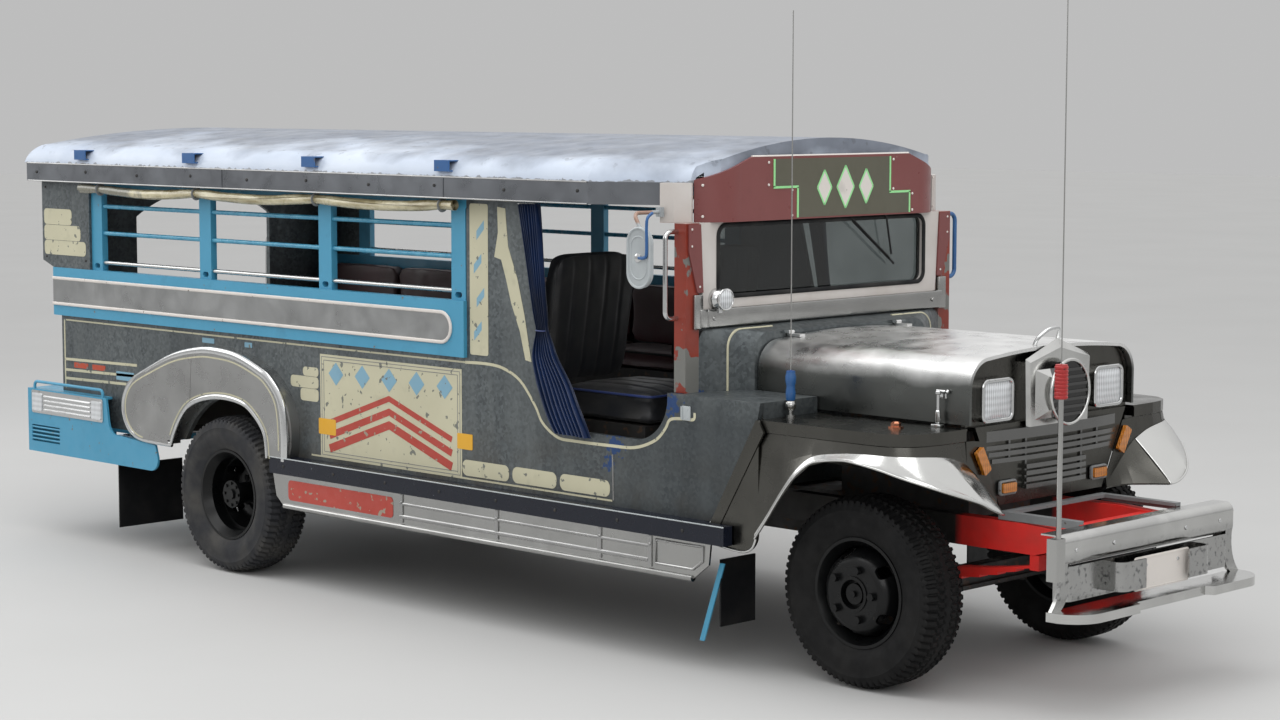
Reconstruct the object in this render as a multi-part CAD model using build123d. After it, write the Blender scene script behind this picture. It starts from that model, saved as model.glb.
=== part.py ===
from build123d import *
import math
import os

# A long-bodied passenger vehicle on a light truck chassis, in millimetres.
# +X is forward, +Y is the vehicle's left, +Z is up, and Z = 0 is the road.
# The origin is the middle of the vehicle's footprint.

# Driving dimensions
WHEELBASE = 3891
FRONT_AXLE = 2355
REAR_AXLE = FRONT_AXLE - WHEELBASE
FRONT_END = 3350
REAR_END = -3305

# Tyres, wheels and steering
TYRE_R = 388
TYRE_W = 240
RIM_R = 212
BEAD_HALF = 82
FRONT_TYRE_Y = 675
REAR_TYRE_Y = 878
FRONT_DISH = 122
REAR_DISH = 116
REAR_HUB_END = 950
AXLE_TUBE = 640
HAND_HOLES = 5
HAND_HOLE_R = 160
HUB_BORE_R = 71
WHEEL_NUTS = 5
NUT_CIRCLE_R = 104
KINGPIN_Y = 530
PIN_R = 14
SPINDLE_R = 24
ARM_X = 150
ARM_Z = 300
STUD_R = 8

# Chassis
RAIL_Y = 330
RAIL_W = 60
RAIL_Z0 = 560
RAIL_Z = 680
FRONT_SPRING = 560
FRONT_SPRING_TOP = 462
REAR_SPRING = 640
REAR_SPRING_TOP = 510
LEAF_THICK = 10
GEARBOX_END = FRONT_AXLE - 1250
SHAFT_FRONT_Z = 530
SHAFT_REAR = REAR_AXLE + 250

# Body
BODY_Y = 920
BELT_Y = 940
EAVE_Y = 1000
SHEET = 25
THIN = 8
FLOOR_Z = 705
AISLE_Y = 470
AISLE_Z = FLOOR_Z + 4
SILL_Z = 620
BELT_Z0 = 1190
BELT_Z = 1445
EAVE_Z0 = 1905
EAVE_Z = 2000
CROWN_Z = 2180
BODY_REAR = -3060
CORNER_REAR = -3205
ROOF_REAR = -3265
ROOF_TAPER = 1055
ROOF_CORNER = 1400
ROOF_CORNER_Y = 815
BELT_FRONT = 195
POSTS_X = (-2715, -1763, -812, 140)
POST_W = 95
BARS_Z = (1486, 1640, 1780)
BAR_R = 11
ARCH_R = 470
ARCH_Z = 400
WHEEL_BOX_Y = 500

# Front
DOOR_FRONT = 1445
SCREEN_X = DOOR_FRONT + 20
SCREEN_Z0 = 1395
SCREEN_Z = 1835
PILLAR_Y0 = 800
PILLAR_Y = 880
VISOR_X = 1555
VISOR_BACK = VISOR_X - 95
VISOR_Y = 780
VISOR_WALL = 14
HOOD_REAR = 1628
HOOD_FRONT = 2742
HOOD_Y = 562
HOOD_Z0 = 1076
HOOD_TOP = 1360
HINGE_X = 1632
HINGE_Z = 1364
LEDGE_Z = 1130
FENDER_X = 1965
FENDER_Y = 930
FENDER_Z = 1064
BAY_X = 2712
NOSE_X = 2735
NOSE_Z0 = 740
SEAM_TOP = 514
SEAM_LOW = 352
BOW = 30
BOW_HALF = 440
BOW_R = (BOW_HALF ** 2 + BOW ** 2) / (2 * BOW)
LAMP_Y = 379
LAMP_Z = 1162
RING_X = 2818
RING_Z = 1173
RING_R = 130
PLATE_X = 3268
OVERRIDER_X = 3300
BAR_HALF = 600
POST_FOOT_Y = 657
FENDER_WHIP = (1990, -765)
BUMPER_WHIP = (3222, -628)
PLATE_HOLE_Y = 110
PLATE_HOLE_Z = 535

# Cabin
SEAT_Y = 430
WHEEL_CENTRE = (1210, 430, 1290)
WHEEL_TILT = 35


def block(x0, x1, y0, y1, z0, z1):
    """A box between two corners."""
    size = (x1 - x0, abs(y1 - y0), z1 - z0)
    middle = ((x0 + x1) / 2, (y0 + y1) / 2, (z0 + z1) / 2)
    return Pos(*middle) * Box(*size)


def outline(start, *moves):
    """A face from lines, given as an end point, and arcs, given as a middle point and an end point."""
    edges = []
    here = start
    for move in moves:
        if isinstance(move[0], tuple):
            edges.append(ThreePointArc(here, move[0], move[1]))
            here = move[1]
        else:
            edges.append(Line(here, move))
            here = move
    if math.dist(here, start) > 0.01:
        edges.append(Line(here, start))
    return make_face(edges)


def along_y(face, y0, y1):
    """A face drawn in X and Z, made solid between y0 and y1."""
    low, high = sorted((y0, y1))
    return extrude(Plane.XZ.offset(-low) * face, amount=-(high - low))


def along_x(face, x0, x1):
    """A face drawn in Y and Z, made solid from x0 to x1."""
    return extrude(Plane.YZ.offset(x0) * face, amount=x1 - x0)


def along_z(face, z0, z1):
    """A face drawn in X and Y, made solid from z0 to z1."""
    return extrude(Plane.XY.offset(z0) * face, amount=z1 - z0)


def rod_x(x0, x1, y, z, r):
    return along_x(Pos(y, z) * Circle(r), x0, x1)


def rod_y(y0, y1, x, z, r):
    return along_y(Pos(x, z) * Circle(r), y0, y1)


def rod_z(z0, z1, x, y, r):
    return along_z(Pos(x, y) * Circle(r), z0, z1)


def rod(a, b, r):
    """A round bar between two points."""
    start = Vector(*a)
    way = Vector(*b) - start
    return extrude(Plane(start, z_dir=way) * Circle(r), amount=way.length)


def bent_tube(points, r, bend):
    """A round bar along straight runs joined by arcs."""
    path = FilletPolyline(*points, radius=bend)
    return sweep(Plane(path @ 0, z_dir=path % 0) * Circle(r), path=path)


def ruled(faces):
    """A solid through flat sections, straight from each to the next."""
    return loft(faces, ruled=True)


def mirrored(shape):
    return mirror(shape, about=Plane.XZ)


def both(shape):
    """The right-hand piece and its left-hand twin."""
    return [shape, mirrored(shape)]


def joined(pieces):
    solid = pieces[0]
    for piece in pieces[1:]:
        solid = solid + piece
    return solid


def save(name, *shapes):
    solids = [solid for shape in shapes for solid in shape.solids()]
    export_step(Compound(solids), f"parts/{name}.step")
    print(name, len(solids))


# Chassis


def chassis_rails():
    """Two rails, with horns that reach into the front bumper's channel."""
    rear = REAR_END + 140
    horn = FRONT_AXLE + 700
    end = 3208
    face = outline(
        (rear, RAIL_Z),
        (rear, RAIL_Z0 + 30),
        (rear + 250, RAIL_Z0),
        (horn - 140, RAIL_Z0),
        (horn, 598),
        (3190, 598),
        (end, 610),
        (end, 656),
        (3190, 668),
        (horn, 668),
        (horn - 200, RAIL_Z),
    )
    return both(along_y(face, -RAIL_Y - RAIL_W / 2, -RAIL_Y + RAIL_W / 2))


def cross_members():
    """Channels between the rails, and outriggers that carry the floor."""
    inner = RAIL_Y - RAIL_W / 2
    outer = RAIL_Y + RAIL_W / 2
    reach = BODY_Y - SHEET
    pieces = []
    for x in (REAR_END + 180, -2300, REAR_AXLE + 560, -200, 900, FRONT_AXLE + 640):
        channel = block(x - 35, x + 35, -inner, inner, RAIL_Z0 + 30, RAIL_Z - 14)
        hollow = block(x - 27, x + 35, -inner, inner, RAIL_Z0 + 38, RAIL_Z - 22)
        pieces.append(channel - hollow)
    for x in (-2700, -2150, -900, -100, 700, 1350):
        face = outline((outer, RAIL_Z - 80), (outer, RAIL_Z), (reach, RAIL_Z), (reach, RAIL_Z - 34))
        pieces += both(along_x(face, x - 25, x + 25))
    return pieces


def engine_block():
    bell = FRONT_AXLE - 560
    engine = block(bell, FRONT_AXLE + 120, -210, 210, 640, 1050)
    gearbox = block(GEARBOX_END, bell, -120, 120, 460, 660)
    return engine + gearbox


def front_axle():
    """An I-beam with an eye for the kingpin at each end."""
    reach = KINGPIN_Y - 40
    web = block(FRONT_AXLE - 12, FRONT_AXLE + 12, -reach, reach, 330, 400)
    low = block(FRONT_AXLE - 34, FRONT_AXLE + 34, -reach, reach, 318, 334)
    high = block(FRONT_AXLE - 34, FRONT_AXLE + 34, -reach, reach, 396, 412)
    beam = web + low + high
    for side in (-1, 1):
        pin_y = side * KINGPIN_Y
        beam = beam + block(FRONT_AXLE - 20, FRONT_AXLE + 20, side * (reach - 6), pin_y, 345, 411)
        beam = beam + rod_z(345, 411, FRONT_AXLE, pin_y, 34)
        beam = beam - rod_z(300, 450, FRONT_AXLE, pin_y, PIN_R + 0.5)
    return beam


def spring_pack(x, y, half, base, rise, leaves):
    """Arched leaves, each shorter than the one above, tied at the axle."""
    pack = []
    for i in range(leaves):
        reach = half * (1 - 0.16 * i)
        top = base - LEAF_THICK * i
        sag = rise * (reach / half) ** 2
        face = outline(
            (x - reach, top + sag),
            ((x, top), (x + reach, top + sag)),
            (x + reach, top + sag - LEAF_THICK),
            ((x, top - LEAF_THICK), (x - reach, top + sag - LEAF_THICK)),
        )
        pack.append(along_y(face, y - 28, y + 28))
    return joined(pack)


def leaf_springs():
    pieces = []
    for axle, half, base, leaves in (
        (FRONT_AXLE, FRONT_SPRING, FRONT_SPRING_TOP, 5),
        (REAR_AXLE, REAR_SPRING, REAR_SPRING_TOP, 7),
    ):
        pack = spring_pack(axle, -RAIL_Y, half, base, RAIL_Z0 - 40 - base, leaves)
        for x in (axle - half, axle + half):
            pack = pack + block(x - 22, x + 22, -RAIL_Y - 28, -RAIL_Y + 28, RAIL_Z0 - 62, RAIL_Z0)
        pieces += both(pack)
    return pieces


def rear_axle():
    """The axle tube with the differential's bowl and nose, and a pad under each spring."""
    tube = rod_y(-AXLE_TUBE, AXLE_TUBE, REAR_AXLE, TYRE_R, 48)
    bowl = Pos(REAR_AXLE, 0, TYRE_R) * Sphere(145)
    nose = rod_x(REAR_AXLE + 80, SHAFT_REAR, 0, TYRE_R, 52)
    axle = tube + bowl + nose
    for side in (-1, 1):
        pad = block(REAR_AXLE - 60, REAR_AXLE + 60, side * 302, side * 358, TYRE_R + 30, 440)
        axle = axle + pad
    return axle


def drive_shaft():
    """A tube between two flanges, which bolt to the axle's nose and the gearbox."""
    tube = rod((SHAFT_REAR + 8, 0, TYRE_R), (GEARBOX_END - 8, 0, SHAFT_FRONT_Z), 38)
    rear = rod_x(SHAFT_REAR, SHAFT_REAR + 16, 0, TYRE_R, 55)
    front = rod_x(GEARBOX_END - 16, GEARBOX_END, 0, SHAFT_FRONT_Z, 55)
    return tube + rear + front


def fuel_tank():
    return along_x(Pos(590, 514) * RectangleRounded(300, 160, 40), -700, 150)


def exhaust():
    pipe = bent_tube(
        [(1500, 230, 520), (900, 230, 500), (300, 200, 480), (-950, 200, 480), (-1250, 215, 520),
         (-1900, 215, 520), (-3020, 215, 470)],
        24, 60,
    )
    return pipe + rod_x(-350, 250, 200, 480, 75)


# Running gear


def tyre(y):
    """A tyre on a lying axis: a revolved section with a rounded crown and an open middle."""
    half = TYRE_W / 2
    shoulder = TYRE_R - 26
    section = outline(
        (RIM_R, -BEAD_HALF),
        (RIM_R + 16, -BEAD_HALF),
        ((RIM_R + 80, -half), (shoulder, -half + 12)),
        ((TYRE_R - 6, -half + 24), (TYRE_R, -half + 42)),
        (TYRE_R, half - 42),
        ((TYRE_R - 6, half - 24), (shoulder, half - 12)),
        ((RIM_R + 80, half), (RIM_R + 16, BEAD_HALF)),
        (RIM_R, BEAD_HALF),
    )
    return Pos(0, y, 0) * revolve(Plane.XY * section, axis=Axis.Y)


def disc_wheel(y, out, dish):
    """A pressed wheel: a rim with flanges and a dished disc with hand holes; out is the side it faces."""
    bead = BEAD_HALF
    seat = RIM_R - 1
    flange = RIM_R + 12
    well = RIM_R - 28
    rim = outline(
        (seat, -bead - 12), (flange, -bead - 12), (flange, -bead - 1), (seat, -bead - 1),
        (well + 10, -bead + 34), (well + 10, bead - 34), (seat, bead + 1), (flange, bead + 1),
        (flange, bead + 12), (seat, bead + 12),
        (well, bead - 28), (well, -bead + 28),
    )
    wheel = revolve(Plane.XY * rim, axis=Axis.Y)
    edge = RIM_R - 26
    foot = dish - 98
    thick = 9
    disc = outline(
        (HUB_BORE_R, dish), (126, dish), ((150, dish - 12), (167, dish - 42)), (edge, foot),
        (edge, foot - 10), (edge - 10, foot - 10), (158, dish - 50), ((143, dish - 21), (124, dish - thick)),
        (HUB_BORE_R, dish - thick),
    )
    disc = revolve(Plane.XY * disc, axis=Axis.Y)
    for i in range(HAND_HOLES):
        turn = 360 / HAND_HOLES * i + 20
        hole = along_y(SlotOverall(54, 32), dish - 140, dish + 30)
        disc = disc - Rot(0, turn, 0) * Pos(0, 0, HAND_HOLE_R) * hole
    wheel = Rot(0, 0, 0 if out > 0 else 180) * (wheel + disc)
    return Pos(0, y, 0) * wheel


def hub(y0, y1, out, nut_y):
    """A hub that fits the disc's bore, with a cap inside a rim, and a ring of nuts on the disc."""
    barrel = rod_y(y0, y1, 0, 0, HUB_BORE_R + 1) - rod_y(y1 - out * 34, y1 + out, 0, 0, HUB_BORE_R - 12)
    pieces = [barrel, rod_y(y0, y1 - out * 12, 0, 0, 42), rod_y(y0, y1, 0, 0, 13)]
    for i in range(WHEEL_NUTS):
        turn = math.radians(360 / WHEEL_NUTS * i + 90 + 16 * out)
        place = Pos(NUT_CIRCLE_R * math.cos(turn), NUT_CIRCLE_R * math.sin(turn))
        pieces.append(along_y(place * RegularPolygon(17, 6), nut_y, nut_y + out * 22))
    return joined(pieces)


def front_wheel(side):
    """Wheel, hub and brake drum of one front corner, and its tyre."""
    y = side * FRONT_TYRE_Y
    face = y + side * FRONT_DISH
    wheel = disc_wheel(y, side, FRONT_DISH)
    wheel = wheel + hub(side * 640, face + side * 5, side, face)
    wheel = wheel + rod_y(side * 578, y, 0, 0, 125)
    wheel = wheel - rod_y(side * 570, side * 640, 0, 0, SPINDLE_R + 1)
    place = Pos(FRONT_AXLE, 0, TYRE_R)
    return place * wheel, place * tyre(y)


def rear_hub(face, side):
    """A long hub that stands out through the dish to a bolted flange, and the brake drum behind."""
    end = side * REAR_HUB_END
    plate = end - side * 22
    pieces = [
        rod_y(side * 600, face, 0, 0, 118),
        hub(face - side * 40, face + side * 46, side, face + side * 9),
        rod_y(face, plate, 0, 0, 52),
        rod_y(plate, end, 0, 0, 68),
        rod_y(plate, end + side * 10, 0, 0, 26),
    ]
    for i in range(8):
        turn = math.radians(45 * i)
        pieces.append(rod_y(plate, end + side * 7, 54 * math.cos(turn), 54 * math.sin(turn), 8))
    return joined(pieces)


def rear_wheels(side):
    """The deep-dished wheel of one side on its hub, and its tyre."""
    y = side * REAR_TYRE_Y
    face = y - side * REAR_DISH
    wheel = disc_wheel(y, -side, REAR_DISH) + rear_hub(face, side)
    wheel = wheel - rod_y(side * 590, side * (AXLE_TUBE + 12), 0, 0, 53)
    place = Pos(REAR_AXLE, 0, TYRE_R)
    return place * wheel, [place * tyre(y)]


def knuckle(side):
    """Yoke, kingpin, spindle, brake plate and steering arm of one front corner."""
    x = FRONT_AXLE
    pin_y = side * KINGPIN_Y
    plate_y = side * 574
    pieces = [
        rod_z(318, 438, x, pin_y, PIN_R),
        block(x - 34, x + 34, side * (KINGPIN_Y + 38), plate_y, 310, 446),
        rod_y(side * 569, plate_y, x, TYRE_R, 118),
        rod_y(side * 572, side * 636, x, TYRE_R, SPINDLE_R),
        block(x - ARM_X, x, pin_y - 16, pin_y + 16, ARM_Z - 4, ARM_Z + 14),
        rod_z(ARM_Z - 4, ARM_Z + 14, x - ARM_X, pin_y, 22),
        rod_z(ARM_Z - 46, ARM_Z, x - ARM_X, pin_y, STUD_R),
    ]
    for z0, z1 in ((310, 340), (416, 446)):
        pieces.append(rod_z(z0, z1, x, pin_y, 30))
        pieces.append(block(x - 24, x + 24, pin_y, side * 572, z0, z1))
    return joined(pieces)


def tie_rod():
    """A bar with an eye on each steering arm's stud."""
    x = FRONT_AXLE - ARM_X
    z0 = ARM_Z - 42
    z1 = ARM_Z - 14
    reach = KINGPIN_Y - 20
    bar = rod_y(-reach, reach, x, (z0 + z1) / 2, 12)
    for side in (-1, 1):
        bar = bar + rod_z(z0, z1, x, side * KINGPIN_Y, 22)
    for side in (-1, 1):
        bar = bar - rod_z(z0 - 5, z1 + 5, x, side * KINGPIN_Y, STUD_R + 1)
    return bar


# Body


def side_panel():
    """One side sheet from the rear edge to the front fender, with the wheel arch and the front doorway."""
    face = outline(
        (BODY_REAR, SILL_Z),
        (BODY_REAR, BELT_Z0),
        (BELT_FRONT, BELT_Z0),
        (BELT_FRONT, EAVE_Z0),
        (535, EAVE_Z0),
        (675, 1350),
        (725, 1130),
        (790, 960),
        ((805, 930), (845, 920)),
        (1270, 920),
        ((1390, 975), (DOOR_FRONT, 1100)),
        (DOOR_FRONT, LEDGE_Z),
        (FENDER_X, LEDGE_Z),
        (FENDER_X - 15, FENDER_Z),
        (1705, SILL_Z),
    )
    arch = Pos(REAR_AXLE, ARCH_Z) * Circle(ARCH_R)
    return along_y(face - arch, -BODY_Y, -BODY_Y + SHEET)


def belt_rails():
    face = outline(
        (BODY_REAR - 45, BELT_Z0),
        (BODY_REAR - 45, BELT_Z),
        (BELT_FRONT, BELT_Z),
        (BELT_FRONT, BELT_Z0),
    )
    return both(along_y(face, -BELT_Y, -BELT_Y + 45))


def window_frames():
    """Posts and top rail of the three windows on each side, with a slot at the foot of each post."""
    y0 = -BODY_Y
    y1 = -BODY_Y + 35
    frame = block(POSTS_X[0] - POST_W / 2, BELT_FRONT, y0, y1, 1860, EAVE_Z0)
    for x in POSTS_X:
        post = block(x - POST_W / 2, min(x + POST_W / 2, BELT_FRONT), y0, y1, BELT_Z, 1870)
        slot = along_y(Pos(x, BELT_Z + 24) * SlotOverall(46, 26), y0, y1)
        frame = frame + (post - slot)
    return both(frame)


def window_bars():
    """Three round bars across each window, from post to post."""
    bars = []
    for rear, front in zip(POSTS_X, POSTS_X[1:]):
        for z in BARS_Z:
            bars += both(rod_x(rear + POST_W / 2, front - POST_W / 2, -BODY_Y + 17, z, BAR_R))
    return bars


def rear_wall():
    """The wall beside and above the rear entry, and the corner panels that carry on past it."""
    inner = BODY_Y - SHEET
    entry = 450
    face = outline(
        (-inner, FLOOR_Z),
        (-inner, EAVE_Z0),
        (inner, EAVE_Z0),
        (inner, FLOOR_Z),
        (entry, FLOOR_Z),
        (entry, 1700),
        ((0, 1840), (-entry, 1700)),
        (-entry, FLOOR_Z),
    )
    wall = along_x(face, BODY_REAR, BODY_REAR + SHEET)
    corner_face = outline(
        (CORNER_REAR, 1480),
        (CORNER_REAR, EAVE_Z0),
        (POSTS_X[0] - POST_W / 2, EAVE_Z0),
        (POSTS_X[0] - POST_W / 2, BELT_Z),
        (BODY_REAR - 45, BELT_Z),
    )
    corners = both(along_y(corner_face, -BODY_Y - 15, -BODY_Y + SHEET))
    return wall + corners[0] + corners[1]


def floor():
    """The deck, with a tread plate along the aisle and a box over each pair of rear wheels."""
    inner = BODY_Y - SHEET
    half = 470
    deck = block(BODY_REAR, DOOR_FRONT + 30, -inner, inner, RAIL_Z, FLOOR_Z)
    deck = deck + block(BODY_REAR + SHEET, 400, -AISLE_Y, AISLE_Y, FLOOR_Z, AISLE_Z)
    for side in (-1, 1):
        x0 = REAR_AXLE - half
        x1 = REAR_AXLE + half
        edge = side * WHEEL_BOX_Y
        deck = deck - block(x0, x1, edge, side * inner, RAIL_Z - 10, FLOOR_Z + 10)
        box = block(x0 - THIN, x1 + THIN, edge - side * THIN, side * inner, FLOOR_Z, 880)
        hollow = block(x0, x1, edge, side * (inner + 1), RAIL_Z, 880 - THIN)
        deck = deck + (box - hollow)
    return deck


def roof_section(x, half, drop):
    """Half-round eaves and a low crown across the vehicle at one place along it."""
    y = half - drop
    z = EAVE_Z
    face = outline(
        (-y, z),
        ((-y + 28, z + 62 - drop * 0.6), (-y + 110, z + 98 - drop)),
        ((0, CROWN_Z - drop), (y - 110, z + 98 - drop)),
        ((y - 28, z + 62 - drop * 0.6), (y, z)),
    )
    return Plane.YZ.offset(x) * face


def roof_side(drop):
    """The roof seen from the side: a rounded rear end."""
    top = CROWN_Z + 20
    rear = ROOF_REAR + drop
    return outline(
        (rear, EAVE_Z),
        ((rear + 70, EAVE_Z + 105 - drop), (rear + 330, EAVE_Z + 172 - drop)),
        ((rear + 700, CROWN_Z + 8 - drop), (rear + 1100, top)),
        (VISOR_X - 30, top),
        (VISOR_X - 30, EAVE_Z),
    )


def roof_form(drop):
    """The roof as one body: full width to the doorway, then tapered to the visor."""
    stations = (
        # x, half width
        (ROOF_REAR - 35, EAVE_Y),
        (ROOF_TAPER, EAVE_Y),
        (ROOF_CORNER, ROOF_CORNER_Y),
        (VISOR_X, ROOF_CORNER_Y - 40),
    )
    body = ruled([roof_section(x, half, drop) for x, half in stations])
    return body & along_y(roof_side(drop), -EAVE_Y - 50, EAVE_Y + 50)


def roof():
    """A hollow shell with a closed front, whose nose stands inside the visor."""
    span = EAVE_Y + 50
    rear = ROOF_REAR - 35
    hollow = roof_form(SHEET) & block(rear, VISOR_X - 70, -span, span, EAVE_Z - 100, CROWN_Z + 120)
    behind = block(rear, VISOR_BACK, -span, span, EAVE_Z - 100, CROWN_Z + 120)
    inside = along_z(visor_plan(VISOR_WALL), EAVE_Z - 100, CROWN_Z + 120)
    return (roof_form(0) - hollow) & (behind + inside)


def eave_plan(d):
    """The eave band's outline from above; d moves it inward."""
    rear = ROOF_REAR + 20 + d
    front = ROOF_CORNER - 5
    corner_y = ROOF_CORNER_Y + 3
    return outline(
        (rear, -EAVE_Y + d),
        (ROOF_TAPER, -EAVE_Y + d),
        (front, -corner_y + d),
        (front, corner_y - d),
        (ROOF_TAPER, EAVE_Y - d),
        (rear, EAVE_Y - d),
    )


def eave_band():
    """The folded drip band along both sides and across the back, with its shelf under the roof."""
    wall = 18
    shelf = EAVE_Y - BODY_Y + SHEET
    open_front = block(ROOF_CORNER - 30, ROOF_CORNER, -700, 700, EAVE_Z0 - 10, EAVE_Z + 10)
    band = along_z(eave_plan(0) - eave_plan(wall), EAVE_Z0, EAVE_Z)
    band = band + along_z(eave_plan(wall) - eave_plan(shelf), EAVE_Z - wall, EAVE_Z)
    return band - open_front


def roof_sockets():
    """Square tube ends on the roof's shoulder, open to the front."""
    pieces = []
    shell = roof_form(0)
    for x in POSTS_X:
        outer = block(x - 50, x + 50, -EAVE_Y - 18, -EAVE_Y + 60, EAVE_Z + 24, EAVE_Z + 74)
        bore = block(x - 30, x + 60, -EAVE_Y - 13, -EAVE_Y + 60, EAVE_Z + 29, EAVE_Z + 69)
        pieces += both((outer - bore) - shell)
    return pieces


# Front


def cowl_section(x, half, top, low, radius):
    """A rounded box section of the cowl, across the vehicle."""
    k = radius * (1 - math.sqrt(0.5))
    face = outline(
        (-half, low),
        (-half, top - radius),
        ((-half + k, top - k), (-half + radius, top)),
        (half - radius, top),
        ((half - k, top - k), (half, top - radius)),
        (half, low),
    )
    return Plane.YZ.offset(x) * face


def hinge_knuckles(y, width, r):
    return rod_y(y - width / 2, y + width / 2, HINGE_X, HINGE_Z, r)


def cowl():
    """The scuttle between the windscreen and the hood, the ledges beside the hood and the firewall."""
    rear = DOOR_FRONT + 65
    front = HOOD_REAR - 8
    outer = ruled([
        cowl_section(rear, PILLAR_Y0, SCREEN_Z0, LEDGE_Z, 60),
        cowl_section((rear + front) / 2 + 10, 650, 1382, LEDGE_Z, 80),
        cowl_section(front, HOOD_Y + 12, 1372, LEDGE_Z, 90),
    ])
    inner = ruled([
        cowl_section(rear - 1, PILLAR_Y0 - THIN, SCREEN_Z0 - THIN, LEDGE_Z - 10, 55),
        cowl_section((rear + front) / 2 + 8, 650 - THIN, 1382 - THIN, LEDGE_Z - 10, 75),
        cowl_section(front - THIN, HOOD_Y + 4, 1372 - THIN, LEDGE_Z - 10, 85),
    ])
    shell = outer - inner
    firewall = block(front - THIN, front, -HOOD_Y, HOOD_Y, FLOOR_Z, LEDGE_Z)
    ledge_face = outline(
        (DOOR_FRONT + 65, -BODY_Y + SHEET),
        (FENDER_X, -BODY_Y + SHEET),
        (FENDER_X, -HOOD_Y - 8),
        (front - 2, -HOOD_Y - 8),
        (DOOR_FRONT + 65, -700),
    )
    ledge = along_z(ledge_face, LEDGE_Z - THIN, LEDGE_Z)
    riser = block(FENDER_X - THIN, FENDER_X, -BODY_Y + SHEET, -HOOD_Y - 8, FENDER_Z, LEDGE_Z)
    sides = both(ledge + riser)
    cowl_body = shell + firewall + sides[0] + sides[1]
    for y in (-360, 360):
        for end in (-32, 32):
            foot = block(front - 6, HINGE_X, y + end - 14, y + end + 14, HINGE_Z - 3, HINGE_Z + 3)
            cowl_body = cowl_body + hinge_knuckles(y + end, 28, 7) + foot
    return cowl_body


def windshield_frame():
    """The screen surround with its header, the pillars beside it and the corner caps under the roof."""
    face = outline(
        (-770, SCREEN_Z0), (-795, SCREEN_Z), (-690, SCREEN_Z), (-690, EAVE_Z),
        (690, EAVE_Z), (690, SCREEN_Z), (795, SCREEN_Z), (770, SCREEN_Z0),
    )
    face = face - Pos(0, 1672) * RectangleRounded(1370, 300, 45)
    frame = along_x(face, SCREEN_X, SCREEN_X + 45)
    pillar = block(DOOR_FRONT, SCREEN_X + 45, -PILLAR_Y, -PILLAR_Y0, LEDGE_Z, EAVE_Z0 - 70)
    cap_face = outline(
        (1372, -838), ((1362, -866), (1372, -892)), (1432, -872), (1474, -808), (1468, -794), (1404, -826),
    )
    cap = along_z(cap_face, EAVE_Z0 - 70, EAVE_Z)
    return [frame] + both(pillar + cap)


def windshield_glass():
    face = Pos(0, 1672) * RectangleRounded(1370, 300, 45)
    return along_x(face, DOOR_FRONT + 38, DOOR_FRONT + 44)


def visor_plan(d):
    """The visor from above, wrapped back at both ends; d moves it inward."""
    y = VISOR_Y
    run = 190
    bulge = 30 + 0.7 * d
    return outline(
        (VISOR_BACK, -y + d),
        ((VISOR_X - bulge, -y + 35 + bulge), (VISOR_X - d, -y + run)),
        (VISOR_X - d, y - run),
        ((VISOR_X - bulge, y - 35 - bulge), (VISOR_BACK, y - d)),
    )


def visor():
    """The wrapped sign panel over the windscreen, and the strips down the screen pillars."""
    y = VISOR_Y
    panel = along_z(visor_plan(0) - visor_plan(VISOR_WALL), SCREEN_Z, 2105)
    top_cut = outline((-y - 60, 2010), (-y, 2010), (-y + 260, 2105), (-y + 260, 2200), (-y - 60, 2200))
    cuts = both(along_x(top_cut, VISOR_BACK - 25, VISOR_X + 10))
    strip_face = outline((-868, 1830), (-868, 1720), (-816, 1545), (-780, 1545), (-796, 1830))
    strips = both(along_x(strip_face, SCREEN_X + 45, SCREEN_X + 53))
    return [panel - cuts[0] - cuts[1]] + strips


def hood_profile(drop):
    half = HOOD_Y - drop
    top = HOOD_TOP - drop
    r = 125 - drop
    k = r * (1 - math.sqrt(0.5))
    return outline(
        (-half, HOOD_Z0),
        (-half, top - 22 - r),
        ((-half + k, top - 22 - k), (-half + r, top - 22)),
        ((0, top), (half - r, top - 22)),
        ((half - k, top - 22 - k), (half, top - 22 - r)),
        (half, HOOD_Z0),
    )


def hood():
    """A one-piece hood with a rolled front lip and a strap on each hinge."""
    roll = 14
    outer = along_x(hood_profile(0), HOOD_REAR, HOOD_FRONT)
    inner = along_x(hood_profile(THIN), HOOD_REAR - 1, HOOD_FRONT - THIN)
    mouth = along_x(hood_profile(roll), HOOD_FRONT - 2 * THIN, HOOD_FRONT + 1)
    shell = outer - inner - mouth
    for y in (-360, 360):
        leaf = block(HINGE_X, HINGE_X + 66, y - 17, y + 17, HINGE_Z - 18, HINGE_Z - 7)
        arm = block(HINGE_X - 6, HINGE_X + 6, y - 17, y + 17, HINGE_Z - 16, HINGE_Z)
        shell = shell + leaf + arm + hinge_knuckles(y, 34, 7)
    return shell


def nose_shell():
    """The recessed upper face with the lamps, and the tapered grille panel below it."""
    half = HOOD_Y - 14
    top = HOOD_TOP - 36
    r = 111
    k = r * (1 - math.sqrt(0.5))
    upper_face = outline(
        (-half, FENDER_Z),
        (-half, top - r),
        ((-half + k, top - k), (-half + r, top)),
        ((0, top + 22), (half - r, top)),
        ((half - k, top - k), (half, top - r)),
        (half, FENDER_Z),
    )
    lower_face = outline(
        (-SEAM_TOP, FENDER_Z), (SEAM_TOP, FENDER_Z), (SEAM_LOW, NOSE_Z0), (-SEAM_LOW, NOSE_Z0),
    )
    upper = along_x(upper_face, BAY_X - 20, BAY_X)
    lower = along_x(lower_face, NOSE_X - 20, NOSE_X)
    ledge = block(BAY_X - 20, NOSE_X, -SEAM_TOP + 5, SEAM_TOP - 5, FENDER_Z - 16, FENDER_Z)
    return upper + lower + ledge


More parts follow.
